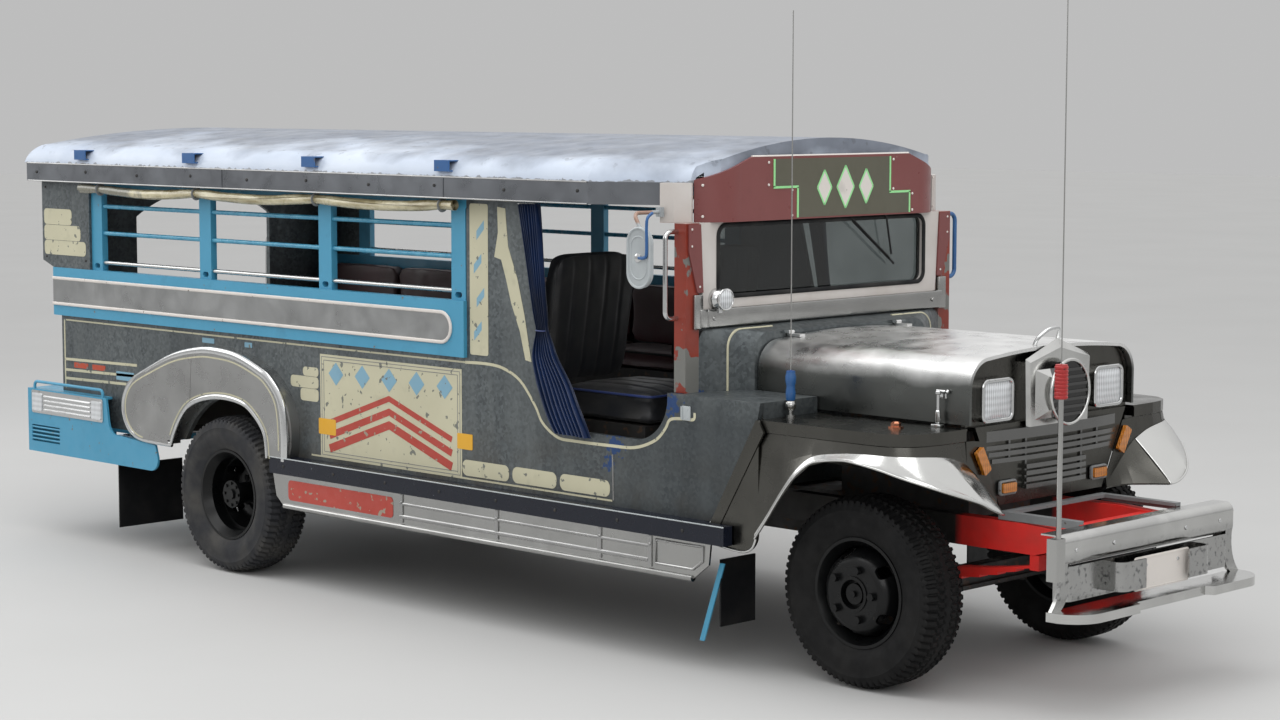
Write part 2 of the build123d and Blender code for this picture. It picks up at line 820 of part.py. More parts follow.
def bowed(depth):
    """A bowed band from above: its front is an arc, and it is this deep."""
    x = NOSE_X + BOW - BOW_R
    return Pos(x, 0) * (Circle(BOW_R) - Circle(BOW_R - depth))


def grille():
    """Bowed bars under a top band: four wide ones, tapering, and four narrow ones on two ribs."""
    slope = (SEAM_TOP - SEAM_LOW) / (FENDER_Z - NOSE_Z0)
    rows = [(998, 1041, 492)]
    for z in (964, 937, 910):
        rows.append((z, z + 18, 476 - (1000 - z) * slope * 1.5))
    for z in (873, 846, 819, 792):
        rows.append((z, z + 18, 204))
    pieces = []
    for z0, z1, half in rows:
        band = along_z(bowed(46) & Pos(NOSE_X, 0) * Rectangle(120, 2 * half), z0, z1)
        pieces.append(band & block(NOSE_X, NOSE_X + BOW + 1, -half, half, z0, z1))
    for y, z0 in ((-300, 910), (-190, 792), (190, 792), (300, 910)):
        pieces.append(block(NOSE_X, NOSE_X + 8, y - 6, y + 6, z0, 1040))
    return joined(pieces)


def front_lamps():
    """Two square lamp units in the nose, and the round spot lamp on the right."""
    pieces = []
    for side in (-1, 1):
        face = Pos(side * LAMP_Y, LAMP_Z) * RectangleRounded(206, 168, 34)
        pieces.append(along_x(face, BAY_X, BAY_X + 26))
    spot = (1545, -700, 1515)
    shell = revolve(
        Plane(spot, x_dir=(0, 1, 0), z_dir=(0, 0, 1))
        * outline((0, 34), (44, 34), (44, 26), ((34, 2), (0, -12))),
        axis=Axis(spot, (-1, 0, 0)),
    )
    bracket = block(SCREEN_X + 45, spot[0] - 4, spot[1] - 10, spot[1] + 10, spot[2] - 58, spot[2] - 48)
    stem = rod_z(spot[2] - 52, spot[2] - 36, spot[0] - 10, spot[1], 8)
    return pieces + [shell + bracket + stem]


def amber_lamps():
    """Slanted lamps on the fender fronts, and small ones beside the grille."""
    slanted = Pos(-484, 930) * (Rot(0, 0, 30) * RectangleRounded(46, 110, 6))
    small = Pos(-312, 808) * RectangleRounded(88, 38, 6)
    return both(along_x(slanted, NOSE_X + 9, NOSE_X + 25)) + both(along_x(small, NOSE_X, NOSE_X + 24))


def block_outline(x, half, shoulder, apex):
    face = outline((-half + 10, 1042), (-half, shoulder), (0, apex), (half, shoulder), (half - 10, 1042))
    return Plane.YZ.offset(x) * face


def boss_outline(x, half, low, high):
    return Plane.YZ.offset(x) * (Pos(0, (low + high) / 2) * Rectangle(2 * half, high - low))


def nose_block():
    """The gabled centre block, with a faceted boss that carries a slatted disc in a ring."""
    rear = HOOD_FRONT + 8
    face = rear + 18
    gable = ruled([block_outline(rear, 212, 1313, 1387), block_outline(face, 204, 1300, 1350)])
    neck = block(BAY_X, rear, -190, 190, FENDER_Z, 1300)
    boss = ruled([boss_outline(face, 168, 1068, 1268), boss_outline(RING_X - 8, 96, 1115, 1232)])
    disc = rod_x(RING_X - 10, RING_X - 4, 0, RING_Z, RING_R - 3)
    ring = Pos(RING_X, 0, RING_Z) * Rot(0, 90, 0) * Torus(RING_R, 7)
    body = gable + neck + boss + disc + ring
    for i in range(-3, 4):
        z = RING_Z + 30 * i
        half = math.sqrt((RING_R - 12) ** 2 - (30 * i) ** 2)
        body = body + block(RING_X - 5, RING_X + 2, -half, half, z - 6, z + 6)
    return body


def fender_section(x, y, angle, crease, lip):
    """The fender's skin in an upright plane that faces outward; crease and lip are (out, z)."""
    turn = math.radians(angle)
    out = (math.sin(turn), -math.cos(turn), 0)
    plane = Plane(origin=(x, -y, 0), x_dir=out, z_dir=(-math.cos(turn), -math.sin(turn), 0))
    t = THIN
    band_z = FENDER_Z - 48
    face = outline(
        (-45, FENDER_Z), (0, FENDER_Z), (0, band_z), (-3, band_z - 3),
        crease, lip, (lip[0] - 5, lip[1] - 7), (crease[0] - 7, crease[1] - 7),
        (-3 - t, band_z - 6), (-t, FENDER_Z - t), (-45, FENDER_Z - t),
    )
    return plane * face


def cheek_section(y, top, crease, lip):
    """The fender's front skin beside the grille panel; top and crease are heights, lip is (x, z)."""
    x = NOSE_X + 4
    face = outline(
        (x, top), (x + 4, crease), lip, (lip[0] - 5, lip[1] - 7), (x - 3, crease - 7), (x - 4, top),
    )
    return Plane.XZ.offset(y) * face


def front_fender():
    """The box fender: flat top, side and front skins with a fold, a flared tongue and inner sheet."""
    stations = (
        # x, edge y, facing, (crease out, z), (lip out, z)
        (FENDER_X, 930, 0, (8, 850), (20, 585)),
        (2037, 930, 0, (10, 880), (28, 673)),
        (2110, 930, 0, (12, 905), (32, 771)),
        (2182, 930, 0, (14, 932), (35, 855)),
        (2263, 930, 0, (16, 955), (36, 918)),
        (2334, 930, 0, (14, 962), (36, 938)),
        (2440, 930, 0, (10, 972), (38, 950)),
        (2535, 930, 0, (4, 977), (42, 944)),
        (2625, 916, 22, (4, 977), (36, 922)),
        (2690, 866, 62, (5, 975), (70, 886)),
        (2722, 800, 82, (6, 972), (118, 848)),
        (NOSE_X, 720, 90, (6, 964), (177, 810)),
        (NOSE_X + 2, 665, 90, (6, 953), (196, 779)),
        (NOSE_X + 3, 610, 90, (6, 934), (198, 757)),
        (NOSE_X + 4, 575, 90, (4, 921), (186, 750)),
    )
    skin = ruled([fender_section(*station) for station in stations])
    cheeks = (
        # y, top, crease, (lip x, z)
        (576, 1015, 921, (2925, 750)),
        (530, 1013, 890, (2855, 748)),
        (490, 1008, 856, (2800, 746)),
        (452, 932, 820, (2766, 743)),
        (412, 853, 785, (2752, 740)),
        (376, 782, 752, (2746, 736)),
    )
    cheek = ruled([cheek_section(*cheek) for cheek in cheeks])
    edge = [(x, -y) for x, y, *rest in stations]
    top = along_z(
        outline((FENDER_X, -HOOD_Y - 8), *edge, (edge[-1][0], -HOOD_Y - 8)), FENDER_Z - THIN, FENDER_Z,
    )
    side_face = outline(
        (FENDER_X + 12, FENDER_Z), (FENDER_X, FENDER_Z), (1705, 600), (1755, 532), (1905, 520),
        ((1950, 540), (FENDER_X + 12, 600)),
    )
    side = along_y(side_face, -943, -935)
    edge_band = outline(
        (FENDER_X, FENDER_Z), (1705, 600), (1747, 577), (FENDER_X + 42, FENDER_Z - 48), (FENDER_X + 12, FENDER_Z),
    )
    band = along_y(edge_band, -947, -936)
    inner = block(HOOD_REAR + 10, 2690, -HOOD_Y - 16, -HOOD_Y - 8, 860, FENDER_Z - 4)
    return skin + cheek + top + side + band + inner


def bumper_section():
    """The top bar's channel: a tall face with a rounded fold above and below, open to the rear."""
    return outline(
        (3120, 700), (3175, 700), ((3205, 690), (3215, 660)), (3215, 606), ((3207, 583), (3180, 575)),
        (3150, 575), (3150, 581), (3178, 581), ((3202, 588), (3209, 608)), (3209, 658),
        ((3200, 684), (3174, 694)), (3120, 694),
    )


def front_bumper():
    """Top channel, box bar with over-riders and plate bracket, flared end posts and the stepped lip."""
    bar = along_y(bumper_section(), -BAR_HALF, BAR_HALF)
    box_face = outline(
        (3150, -560), (3190, -560), ((3212, -551), (3220, -530)), (3220, 530), ((3212, 551), (3190, 560)),
        (3150, 560), (3150, 552), (3212, 520), (3212, -520), (3150, -552),
    )
    pieces = [bar, along_z(box_face, 440, 576)]
    foot = POST_FOOT_Y
    post_face = outline(
        (-BAR_HALF, 590), (-BAR_HALF + 50, 590), (-BAR_HALF + 50, 470), ((-576, 425), (-600, 408)),
        (-foot, 408), ((-612, 470), (-BAR_HALF, 590)),
    )
    notch = FRONT_END - 32
    lip_face = outline(
        (3190, -foot), (3240, -foot), ((3310, -foot + 40), (FRONT_END, -foot + 140)),
        (FRONT_END, -262), (notch, -240), (notch, 240), (FRONT_END, 262),
        (FRONT_END, foot - 140), ((3310, foot - 40), (3240, foot)), (3190, foot),
    )
    pieces.append(along_z(lip_face, 376, 412))
    pieces += both(along_x(post_face, 3196, 3212))
    front = OVERRIDER_X
    rider_face = outline(
        (3212, -312), (front - 50, -312), ((front - 12, -300), (front, -262)), (front, -150),
        (front - 8, -150), (front - 8, -258), ((front - 18, -293), (front - 50, -304)), (3212, -304),
    )
    pieces += both(along_z(rider_face, 455, 570))
    bracket = block(PLATE_X - 4, PLATE_X, -190, 190, 446, 564)
    stays = block(3218, PLATE_X - 3, -30, 30, 470, 520)
    bumper = joined(pieces + [bracket, stays])
    for y in (-PLATE_HOLE_Y, PLATE_HOLE_Y):
        bumper = bumper - rod_x(3260, 3272, y, PLATE_HOLE_Z, 3.5)
    return bumper


def bumper_tray():
    """The flat rails from the grille panel to the bumper."""
    side = block(NOSE_X, 3119, -356, -320, 702, 716)
    skirt = block(NOSE_X, 3119, -356, -350, 684, 704)
    rear = block(NOSE_X + 1, NOSE_X + 40, -330, 330, 702, 716)
    sides = both(side + skirt)
    return rear + sides[0] + sides[1]


def running_boards():
    board = block(-1160, 1840, -1000, -BODY_Y, 540, SILL_Z)
    return both(board - block(1690, 1841, -948, -BODY_Y + 1, 539, SILL_Z + 1))


def side_skirts():
    """A thin sheet under each running board, with a half-round pipe along its foot."""
    face = outline((-1150, 539), (-1125, 430), (-1070, 385), (1660, 385), (1745, 450), (1755, 539))
    skirt = along_y(face, -985, -975)
    return both(skirt + rod_x(-1064, 1655, -982, 385, 14))


def moved_in(point, centre, d):
    """A point moved this far towards a centre."""
    away = math.dist(point, centre)
    return tuple(p + (c - p) * d / away for p, c in zip(point, centre))


def rear_fender():
    """The teardrop box over the rear wheel: a rounded outer edge, and a low, squarish wheel opening."""
    edge = (
        # arc ends and the points between them, from the front foot over the top to the rear foot
        (-1044, 600), (-1080, 915), (-1240, 1042), (-1440, 1098), (-1650, 1117), (-1948, 1068),
        (-2200, 968), (-2345, 890), (-2405, 795), (-2408, 728), (-2370, 662), (-2305, 612), (-2211, 598),
    )
    centre = (-1650, 760)

    def form(d):
        points = [moved_in(point, centre, d) for point in edge]
        arcs = list(zip(points[1::2], points[2::2]))
        return outline(points[0], *arcs, (-1976, 598), (-1976, 500), (points[0][0], 500))

    opening = outline(
        (-1990, 570), ((-1905, 724), (-1780, 825)), ((-1570, 871), (-1365, 851)),
        ((-1237, 770), (-1182, 600)), (-1182, 400), (-1990, 400),
    )
    low = Pos(-1450, 500) * Rectangle(1100, 240)
    steps = ((0, -970, -BODY_Y), (7, -984, -970), (17, -994, -984), (30, -EAVE_Y, -994))
    return joined([along_y(form(d) - opening - low, y0, y1) for d, y0, y1 in steps])


def rear_bumper():
    """Wrapped quarter bumpers with a louvred corner and a top rail, and the step between them."""
    t = 12
    y0 = -985
    side_face = outline(
        (REAR_END, 445), (REAR_END, 785), (-2565, 785), (-2545, 660), ((-2520, 615), (-2470, 600)),
        (-2130, 580), (-2110, 520), ((-2125, 465), (-2170, 445)),
    )
    louvre = Pos((REAR_END + 40 - 3010) / 2, 545) * Rectangle(3010 + REAR_END + 560, 90)
    side = along_y(side_face, y0, y0 + t) - along_y(louvre, y0 - 1, y0 + t + 1)
    pieces = [
        side,
        block(REAR_END, REAR_END + t, y0 + t, -430, 445, 785),
        block(REAR_END + t, -2600, y0 + t, -BODY_Y - 1, 785 - t, 785),
        block(REAR_END + t, BODY_REAR - 1, -BODY_Y - 1, -430, 785 - t, 785),
        block(REAR_END + t, BODY_REAR + 40, -RAIL_Y - 130, -RAIL_Y - RAIL_W / 2 - 1, 500, 560),
        bent_tube([(-2600, -979, 780), (-2600, -979, 824), (REAR_END + 60, -979, 824), (REAR_END + 60, -979, 780)], 8, 25),
    ]
    for z in (514, 535, 556, 577):
        pieces.append(rod_x(REAR_END + 20, -2990, y0 + 5, z, 5))
    quarters = both(joined(pieces))
    step = block(REAR_END, BODY_REAR - 1, -430, 430, 445, 475)
    return step + quarters[0] + quarters[1]


def mud_flaps():
    front = block(1755, 1763, -930, -720, 190, 470)
    rear = block(-2500, -2492, -960, -560, 110, 440)
    return both(front) + both(rear)


# Cabin


def side_benches():
    seat = block(-2950, 120, -890, -520, 1010, 1100)
    back = block(-2950, 120, -890, -800, 1105, 1400)
    return both(seat) + both(back)


def front_seats():
    """Two cushions with leaning backs."""
    pieces = []
    for y in (-SEAT_Y, SEAT_Y):
        pieces.append(block(540, 1110, y - 250, y + 250, 940, 1085))
        back = outline((560, 1090), (450, 1090), (370, 1640), ((380, 1670), (410, 1670)), ((450, 1660), (470, 1600)))
        pieces.append(along_y(back, y - 250, y + 250))
    return pieces


def seat_frames():
    pieces = [block(560, 1080, -680, 680, FLOOR_Z, 935)]
    for side in (-1, 1):
        for x0, x1 in ((-2940, -2050), (-1000, 110)):
            pieces.append(block(x0, x1, side * 540, side * 880, FLOOR_Z, 1005))
    return pieces


def steering_wheel():
    """A three-spoke rim on its shaft."""
    wheel = Torus(205, 13) + Cylinder(45, 40)
    for i in range(3):
        wheel = wheel + Rot(0, 0, 90 + 120 * i) * Pos(115, 0, 0) * Box(190, 26, 10)
    shaft = Pos(0, 0, -190) * Cylinder(16, 340)
    return Pos(*WHEEL_CENTRE) * Rot(0, -WHEEL_TILT, 0) * (wheel + shaft)


def steering_column():
    """The fixed tube round the shaft, down to the firewall."""
    tube = Pos(0, 0, -420) * (Cylinder(30, 600) - Pos(0, 0, 20) * Cylinder(17, 600))
    column = Pos(*WHEEL_CENTRE) * Rot(0, -WHEEL_TILT, 0) * tube
    return column - block(HOOD_REAR - 16, HOOD_REAR + 200, 200, 700, 400, 1200)


# Outside fittings


def mirrors():
    """The right-hand mirror on its tube arm, and the left-hand tube whose mirror is missing."""
    x = FRONT_AXLE - 910
    plate = along_y(Pos(x, 1700) * SlotOverall(250, 130, rotation=90), -1092, -1070)
    arm = bent_tube([(x - 60, -905, 1880), (x - 60, -1060, 1880), (x, -1064, 1790), (x, -1064, 1700)], 8, 30)
    foot = block(x - 75, x - 45, -914, -895, 1860, EAVE_Z0 - 5)
    tube = bent_tube(
        [(DOOR_FRONT + 30, 880, 1820), (DOOR_FRONT + 30, 960, 1820), (DOOR_FRONT + 30, 960, 1530),
         (DOOR_FRONT + 30, 880, 1530)], 10, 35,
    )
    return [plate + arm + foot, tube]


def grab_handles():
    x = DOOR_FRONT + 15
    bar = bent_tube([(x, -880, 1800), (x, -950, 1800), (x, -950, 1440), (x, -880, 1440)], 10, 30)
    return both(bar)[:1]


def whip_antennas():
    """A whip with a sprung handle on the right fender, and a tall one on the bumper's bracket."""
    x, y = FENDER_WHIP
    foot = FENDER_Z
    fender = rod_z(foot, foot + 10, x, y, 21) + Pos(x, y, foot + 48) * Sphere(24)
    fender = fender + rod_z(foot, foot + 40, x, y, 10) + rod_z(foot + 68, foot + 188, x, y, 17)
    fender = fender + rod_z(foot + 186, 2700, x, y, 2.5)
    x, y = BUMPER_WHIP
    bracket = block(x - 34, x + 12, y - 28, -BAR_HALF, 530, 694)
    bumper = bracket + rod_z(690, 1232, x, y, 10)
    bumper = bumper + rod_z(1228, 1357, x, y, 23) + rod_z(1350, 2900, x, y, 2.5)
    return [fender, bumper]


def rolled_tarps():
    return both(rod_x(-2780, 180, -970, 1870, 26))


def curtains():
    """A satin curtain hanging at the rear edge of each doorway, gathered by a tie."""
    face = outline(
        (560, 1895), (660, 1895), (722, 1400), (735, 1330), (775, 1230), (880, 1020), (1000, 915),
        (795, 900), (700, 1080), (660, 1220), (672, 1345), (662, 1400),
    )
    return both(along_y(face, -962, -922))


os.makedirs("parts", exist_ok=True)
save("chassis_rails", *chassis_rails())
save("cross_members", *cross_members())
save("engine_block", engine_block())
save("front_axle", front_axle())
save("leaf_springs", *leaf_springs())
save("rear_axle", rear_axle())
save("drive_shaft", drive_shaft())
save("fuel_tank", fuel_tank())
save("exhaust", exhaust())
for side, hand in ((-1, "right"), (1, "left")):
    wheel, rubber = front_wheel(side)
    save(f"front_wheel_{hand}", wheel)
    save(f"front_tyre_{hand}", rubber)
    wheels, rubbers = rear_wheels(side)
    save(f"rear_wheels_{hand}", wheels)
    save(f"rear_tyres_{hand}", *rubbers)
    save(f"knuckle_{hand}", knuckle(side))
save("tie_rod", tie_rod())
save("side_panels", *both(side_panel()))
save("belt_rails", *belt_rails())
save("window_frames", *window_frames())
save("window_bars", *window_bars())
save("rear_wall", rear_wall())
save("floor", floor())
save("roof", roof())
save("eave_band", eave_band())
save("roof_sockets", *roof_sockets())
save("cowl", cowl())
save("windshield_frame", *windshield_frame())
save("windshield_glass", windshield_glass())
save("visor", *visor())
save("hood", hood())
save("nose_shell", nose_shell())
save("grille", grille())
save("front_lamps", *front_lamps())
save("amber_lamps", *amber_lamps())
save("nose_block", nose_block())
save("front_fenders", *both(front_fender()))
save("front_bumper", front_bumper())
save("bumper_tray", bumper_tray())
save("running_boards", *running_boards())
save("side_skirts", *side_skirts())
save("rear_fenders", *both(rear_fender()))
save("rear_bumper", rear_bumper())
save("mud_flaps", *mud_flaps())
save("side_benches", *side_benches())
save("front_seats", *front_seats())
save("seat_frames", *seat_frames())
save("steering_wheel", steering_wheel())
save("steering_column", steering_column())
save("mirrors", *mirrors())
save("grab_handles", *grab_handles())
save("whip_antennas", *whip_antennas())
save("rolled_tarps", *rolled_tarps())
save("curtains", *curtains())
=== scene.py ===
import math

import bmesh
import bpy
from mathutils import Matrix, Vector, noise


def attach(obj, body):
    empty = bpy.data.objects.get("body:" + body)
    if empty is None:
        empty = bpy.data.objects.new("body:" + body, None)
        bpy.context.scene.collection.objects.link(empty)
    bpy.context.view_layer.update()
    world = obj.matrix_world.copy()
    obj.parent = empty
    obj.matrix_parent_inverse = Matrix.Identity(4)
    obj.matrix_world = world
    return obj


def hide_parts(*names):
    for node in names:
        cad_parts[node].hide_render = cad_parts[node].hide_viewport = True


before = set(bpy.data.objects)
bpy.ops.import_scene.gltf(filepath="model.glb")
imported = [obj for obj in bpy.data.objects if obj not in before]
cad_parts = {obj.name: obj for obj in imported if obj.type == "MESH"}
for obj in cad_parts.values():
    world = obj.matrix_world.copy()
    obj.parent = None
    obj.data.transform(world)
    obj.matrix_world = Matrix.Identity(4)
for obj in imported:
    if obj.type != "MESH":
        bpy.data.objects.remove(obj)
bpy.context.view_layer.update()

# Places on the vehicle, in metres; +X is forward, +Y is its left, and the road is at Z = 0
BODY = "body"
SIDES = ((-1, "right"), (1, "left"))
FORWARD, UP, RIGHT, ACROSS = (1, 0, 0), (0, 0, 1), (0, -1, 0), (0, 1, 0)
FRONT_AXLE = 2.355
REAR_AXLE = -1.536
TYRE_R = 0.388
FRONT_TYRE_Y = 0.675
REAR_TYRE_Y = 0.878
SIDE_Y = 0.920
BELT_Y = 0.940
CORNER_Y = 0.935
FENDER_Y = 1.000
EAVE_Y = 1.000
BOARD_Y = 1.000
SKIRT_Y = 0.985
VISOR_X = 1.555
SCREEN_X = 1.510
NOSE_X = 2.735
LAMP_X = 2.738
FRONT_PLATE_X = 3.268
REAR_BUMPER_X = -3.305
PAINT = 0.0012

# Half the floor's width, its two tones, and the tone of the sky where it meets the floor
FLOOR_HALF = 60
FLOOR_TONES = (0.48, 0.48, 0.475), (0.53, 0.53, 0.525)
HORIZON = 0.51


def srgb(r, g, b):
    """A colour in 0 to 255 steps, as the linear values that shaders take."""
    return tuple((c / 255 + 0.055) ** 2.4 / 1.055 ** 2.4 for c in (r, g, b))


def tint(colour, times, plus=0.0):
    return tuple(min(1.0, c * times + plus) for c in colour)


# Camera, light and floor


def place_camera():
    yaw, pitch, roll = (math.radians(a) for a in (44.6345, 5.7324, -0.0723))
    ahead = Vector((
        -math.sin(yaw) * math.cos(pitch), math.cos(yaw) * math.cos(pitch), -math.sin(pitch),
    ))
    data = bpy.data.cameras.new("camera")
    data.sensor_width = 36
    data.lens = 74.226
    camera = bpy.data.objects.new("camera", data)
    turn = ahead.to_track_quat("-Z", "Y").to_matrix() @ Matrix.Rotation(-roll, 3, "Z")
    camera.matrix_world = Matrix.Translation((9.0235, -8.7579, 2.3624)) @ turn.to_4x4()
    bpy.context.scene.collection.objects.link(camera)
    bpy.context.scene.camera = camera


def area_lamp(name, place, target, size, power):
    data = bpy.data.lights.new(name, "AREA")
    data.shape = "RECTANGLE"
    data.size, data.size_y = size
    data.energy = power
    lamp = bpy.data.objects.new(name, data)
    way = Vector(target) - Vector(place)
    lamp.matrix_world = Matrix.Translation(place) @ way.to_track_quat("-Z", "Y").to_matrix().to_4x4()
    bpy.context.scene.collection.objects.link(lamp)


def light_scene():
    """A sky that meets the floor's tone at the horizon and is bright overhead, and three soft lamps."""
    bpy.context.scene.view_settings.view_transform = "Standard"
    world = bpy.data.worlds.new("sky")
    bpy.context.scene.world = world
    world.use_nodes = True
    tree = world.node_tree
    coord = tree.nodes.new("ShaderNodeTexCoord")
    parts = tree.nodes.new("ShaderNodeSeparateXYZ")
    ramp = tree.nodes.new("ShaderNodeValToRGB")
    stops = ((0.0, HORIZON), (0.045, HORIZON), (0.11, 0.66), (0.24, 0.74), (0.55, 0.95), (1.0, 1.0))
    ramp.color_ramp.elements[0].position = stops[0][0]
    ramp.color_ramp.elements[1].position = stops[-1][0]
    for place, _ in stops[1:-1]:
        ramp.color_ramp.elements.new(place)
    for element, (_, level) in zip(ramp.color_ramp.elements, stops):
        element.color = (level, level, level, 1)
    tree.links.new(coord.outputs["Generated"], parts.inputs[0])
    tree.links.new(parts.outputs["Z"], ramp.inputs[0])
    tree.links.new(ramp.outputs[0], tree.nodes["Background"].inputs["Color"])
    area_lamp("overhead", (1.0, -2.0, 7.5), (0, 0, 1), (10, 6), 330)
    area_lamp("front_right", (10.5, -8.0, 6.5), (1.5, 0, 1), (8, 5), 230)
    area_lamp("rear_fill", (-7.0, -4.0, 4.5), (-1, 0, 1), (5, 4), 110)


def lay_floor():
    half = FLOOR_HALF
    corners = [(-half, -half, 0), (half, -half, 0), (half, half, 0), (-half, half, 0)]
    mesh = bpy.data.meshes.new("ground")
    mesh.from_pydata(corners, [], [(0, 1, 2, 3)])
    ground = bpy.data.objects.new("ground", mesh)
    bpy.context.scene.collection.objects.link(ground)
    look = Look("ground", (0.50, 0.50, 0.495), 0.75)
    look.colour(look.mix(look.noise(0.6, 4), *FLOOR_TONES))
    mesh.materials.append(look.material)


# Materials


class Look:
    """A procedural material. Its helpers add nodes and return the socket to use next."""

    def __init__(self, name, colour, rough, metal=0.0, **fixed):
        self.material = bpy.data.materials.new(name)
        self.material.use_nodes = True
        self.tree = self.material.node_tree
        self.shader = self.tree.nodes["Principled BSDF"]
        self.colour(colour).rough(rough).metal(metal)
        for socket, value in fixed.items():
            self.feed(self.shader.inputs[socket.replace("_", " ")], value)
        self.place = self.node("TexCoord").outputs["Object"]
        self.x, self.y, self.z = self.node("SeparateXYZ", self.place).outputs

    def feed(self, socket, value):
        if isinstance(value, bpy.types.NodeSocket):
            self.tree.links.new(value, socket)
        elif isinstance(value, tuple) and len(value) == 3 and socket.type == "RGBA":
            socket.default_value = (*value, 1)
        else:
            socket.default_value = value

    def node(self, kind, *values, **named):
        """A new node, with its inputs given in their order or by name."""
        node = self.tree.nodes.new("ShaderNode" + kind)
        for key, value in [*enumerate(values), *named.items()]:
            self.feed(node.inputs[key], value)
        return node

    def math(self, operation, a, b=0.0):
        node = self.node("Math", a, b)
        node.operation = operation
        return node.outputs[0]

    def times(self, a, b):
        return self.math("MULTIPLY", a, b)

    def plus(self, a, b):
        return self.math("ADD", a, b)

    def without(self, share):
        """1 where share is 0, and 0 where it is 1."""
        return self.math("SUBTRACT", 1.0, share)

    def away(self, a, a0, b, b0):
        """The distance of (a, b) from (a0, b0)."""
        parts = [self.math("POWER", self.math("SUBTRACT", v, v0), 2.0) for v, v0 in ((a, a0), (b, b0))]
        return self.math("SQRT", self.plus(*parts))

    def span(self, value, low, high, out_low=0.0, out_high=1.0):
        """Maps low..high to out_low..out_high, held at the ends."""
        return self.node("MapRange", value, low, high, out_low, out_high).outputs[0]

    def within(self, value, low, high, soft=0.002):
        """1 between low and high, and 0 outside."""
        rise, fall = self.span(value, low - soft, low + soft), self.span(value, high + soft, high - soft)
        return self.times(rise, fall)

    def spot(self, x, z, size):
        """A ragged blot on an upright side, 1 inside."""
        edge = self.patches(38, 6, 0.3, 0.7, -0.5 * size, 0.9 * size)
        return self.span(self.plus(self.away(self.x, x, self.z, z), edge), size, size * 0.85)

    def scaled(self, x, y, z):
        return self.node("Mapping", Scale=(x, y, z), Vector=self.place).outputs[0]

    def noise(self, scale, detail=3.0, where=None, warp=0.0):
        node = self.node("TexNoise", where or self.place, Scale=scale, Detail=detail, Distortion=warp)
        return node.outputs["Fac"]

    def patches(self, scale, detail, low=0.35, high=0.7, out_low=0.0, out_high=1.0):
        """Noise whose levels from low to high are spread over out_low to out_high."""
        return self.span(self.noise(scale, detail), low, high, out_low, out_high)

    def cells(self, scale, output="Color"):
        return self.node("TexVoronoi", self.place, Scale=scale).outputs[output]

    def mix(self, share, a, b):
        node = self.node("Mix", share)
        node.data_type = "RGBA"
        self.feed(node.inputs[6], a)
        self.feed(node.inputs[7], b)
        return node.outputs[2]

    def over(self, tone, share, colour, amount=None):
        """Lays a colour over a tone, by its share times an amount."""
        return self.mix(share if amount is None else self.times(share, amount), tone, colour)

    def colour(self, value):
        self.feed(self.shader.inputs["Base Color"], value)
        return self

    def rough(self, value):
        self.feed(self.shader.inputs["Roughness"], value)
        return self

    def metal(self, value):
        self.feed(self.shader.inputs["Metallic"], value)
        return self

    def worn(self, scale, detail, smooth, dull, low=0.3, high=0.7):
        """Roughness that wanders between smooth and dull."""
        return self.rough(self.patches(scale, detail, low, high, smooth, dull))

    def bump(self, height, distance=0.002, strength=0.5):
        node = self.node("Bump", Height=height, Distance=distance, Strength=strength)
        self.feed(self.shader.inputs["Normal"], node.outputs[0])
        return self

    def grained(self, scale, detail, distance, strength):
        return self.bump(self.noise(scale, detail), distance, strength)


def galvanised():
    """Spangled zinc sheet with lighter upright streaks, brown near the sill, with blue scuffs."""
    look = Look("galvanised", srgb(86, 92, 94), 0.45, 0.6)
    spangle = look.span(look.cells(75), 0.1, 0.9)
    streak = look.span(look.noise(1.0, 5, look.scaled(9, 9, 0.9)), 0.40, 0.66)
    low = look.times(look.span(look.z, 0.95, 0.64), look.patches(7, 5, 0.4, 0.65))
    front = look.times(look.span(look.x, 0.5, 1.5), look.span(look.z, 1.16, 1.02))
    tone = look.mix(spangle, srgb(76, 81, 83), srgb(110, 116, 118))
    tone = look.over(tone, look.patches(2.2, 4), srgb(68, 73, 76), 0.6)
    tone = look.over(tone, streak, srgb(118, 123, 123), 0.4)
    tone = look.over(tone, low, srgb(84, 76, 64), 0.5)
    tone = look.over(tone, front, srgb(56, 61, 64), 0.6)
    for x, z, size in ((1.475, 1.085, 0.055), (1.135, 0.885, 0.060), (1.10, 0.80, 0.035)):
        tone = look.over(tone, look.spot(x, z, size), srgb(34, 70, 124), 0.8)
    return look.colour(tone).worn(30, 3, 0.34, 0.56).grained(60, 3, 0.001, 0.25)


def steel(name, colour, rough, grime=0.3, shade=None):
    """Bare stainless sheet: fine brushing, wiped smears, dull patches, a slightly wavy skin, and
    painted shade below a height, a painted reflection of dark surroundings; shade gives (unshaded height,
    fully shaded height, colour)."""
    look = Look(name, colour, rough, 1.0)
    brush = look.noise(1.0, 3, look.scaled(4, 320, 320))
    smear = look.span(look.noise(2.6, 5, None, 0.6), 0.38, 0.68)
    tone = look.over(colour, smear, tint(colour, 0.55), grime)
    tone = look.over(tone, look.patches(5.5, 4, 0.56, 0.74, 0, 0.5), tint(colour, 1.18))
    # painted shade: a darker tone below a height, a painted reflection of dark surroundings on the lower
    # sides
    if shade:
        unshaded_height, shaded_height, painted_shade_tone = shade
        height = look.plus(look.z, look.patches(4, 4, 0.3, 0.7, -0.02, 0.02))
        tone = look.over(tone, look.span(height, unshaded_height, shaded_height), painted_shade_tone)
    look.colour(tone).worn(9, 4, rough * 0.75, rough * 1.7, 0.3, 0.75)
    waves = look.times(look.noise(3.5, 2), 4.0)
    return look.bump(look.plus(look.times(brush, 0.12), waves), 0.006, 0.22)


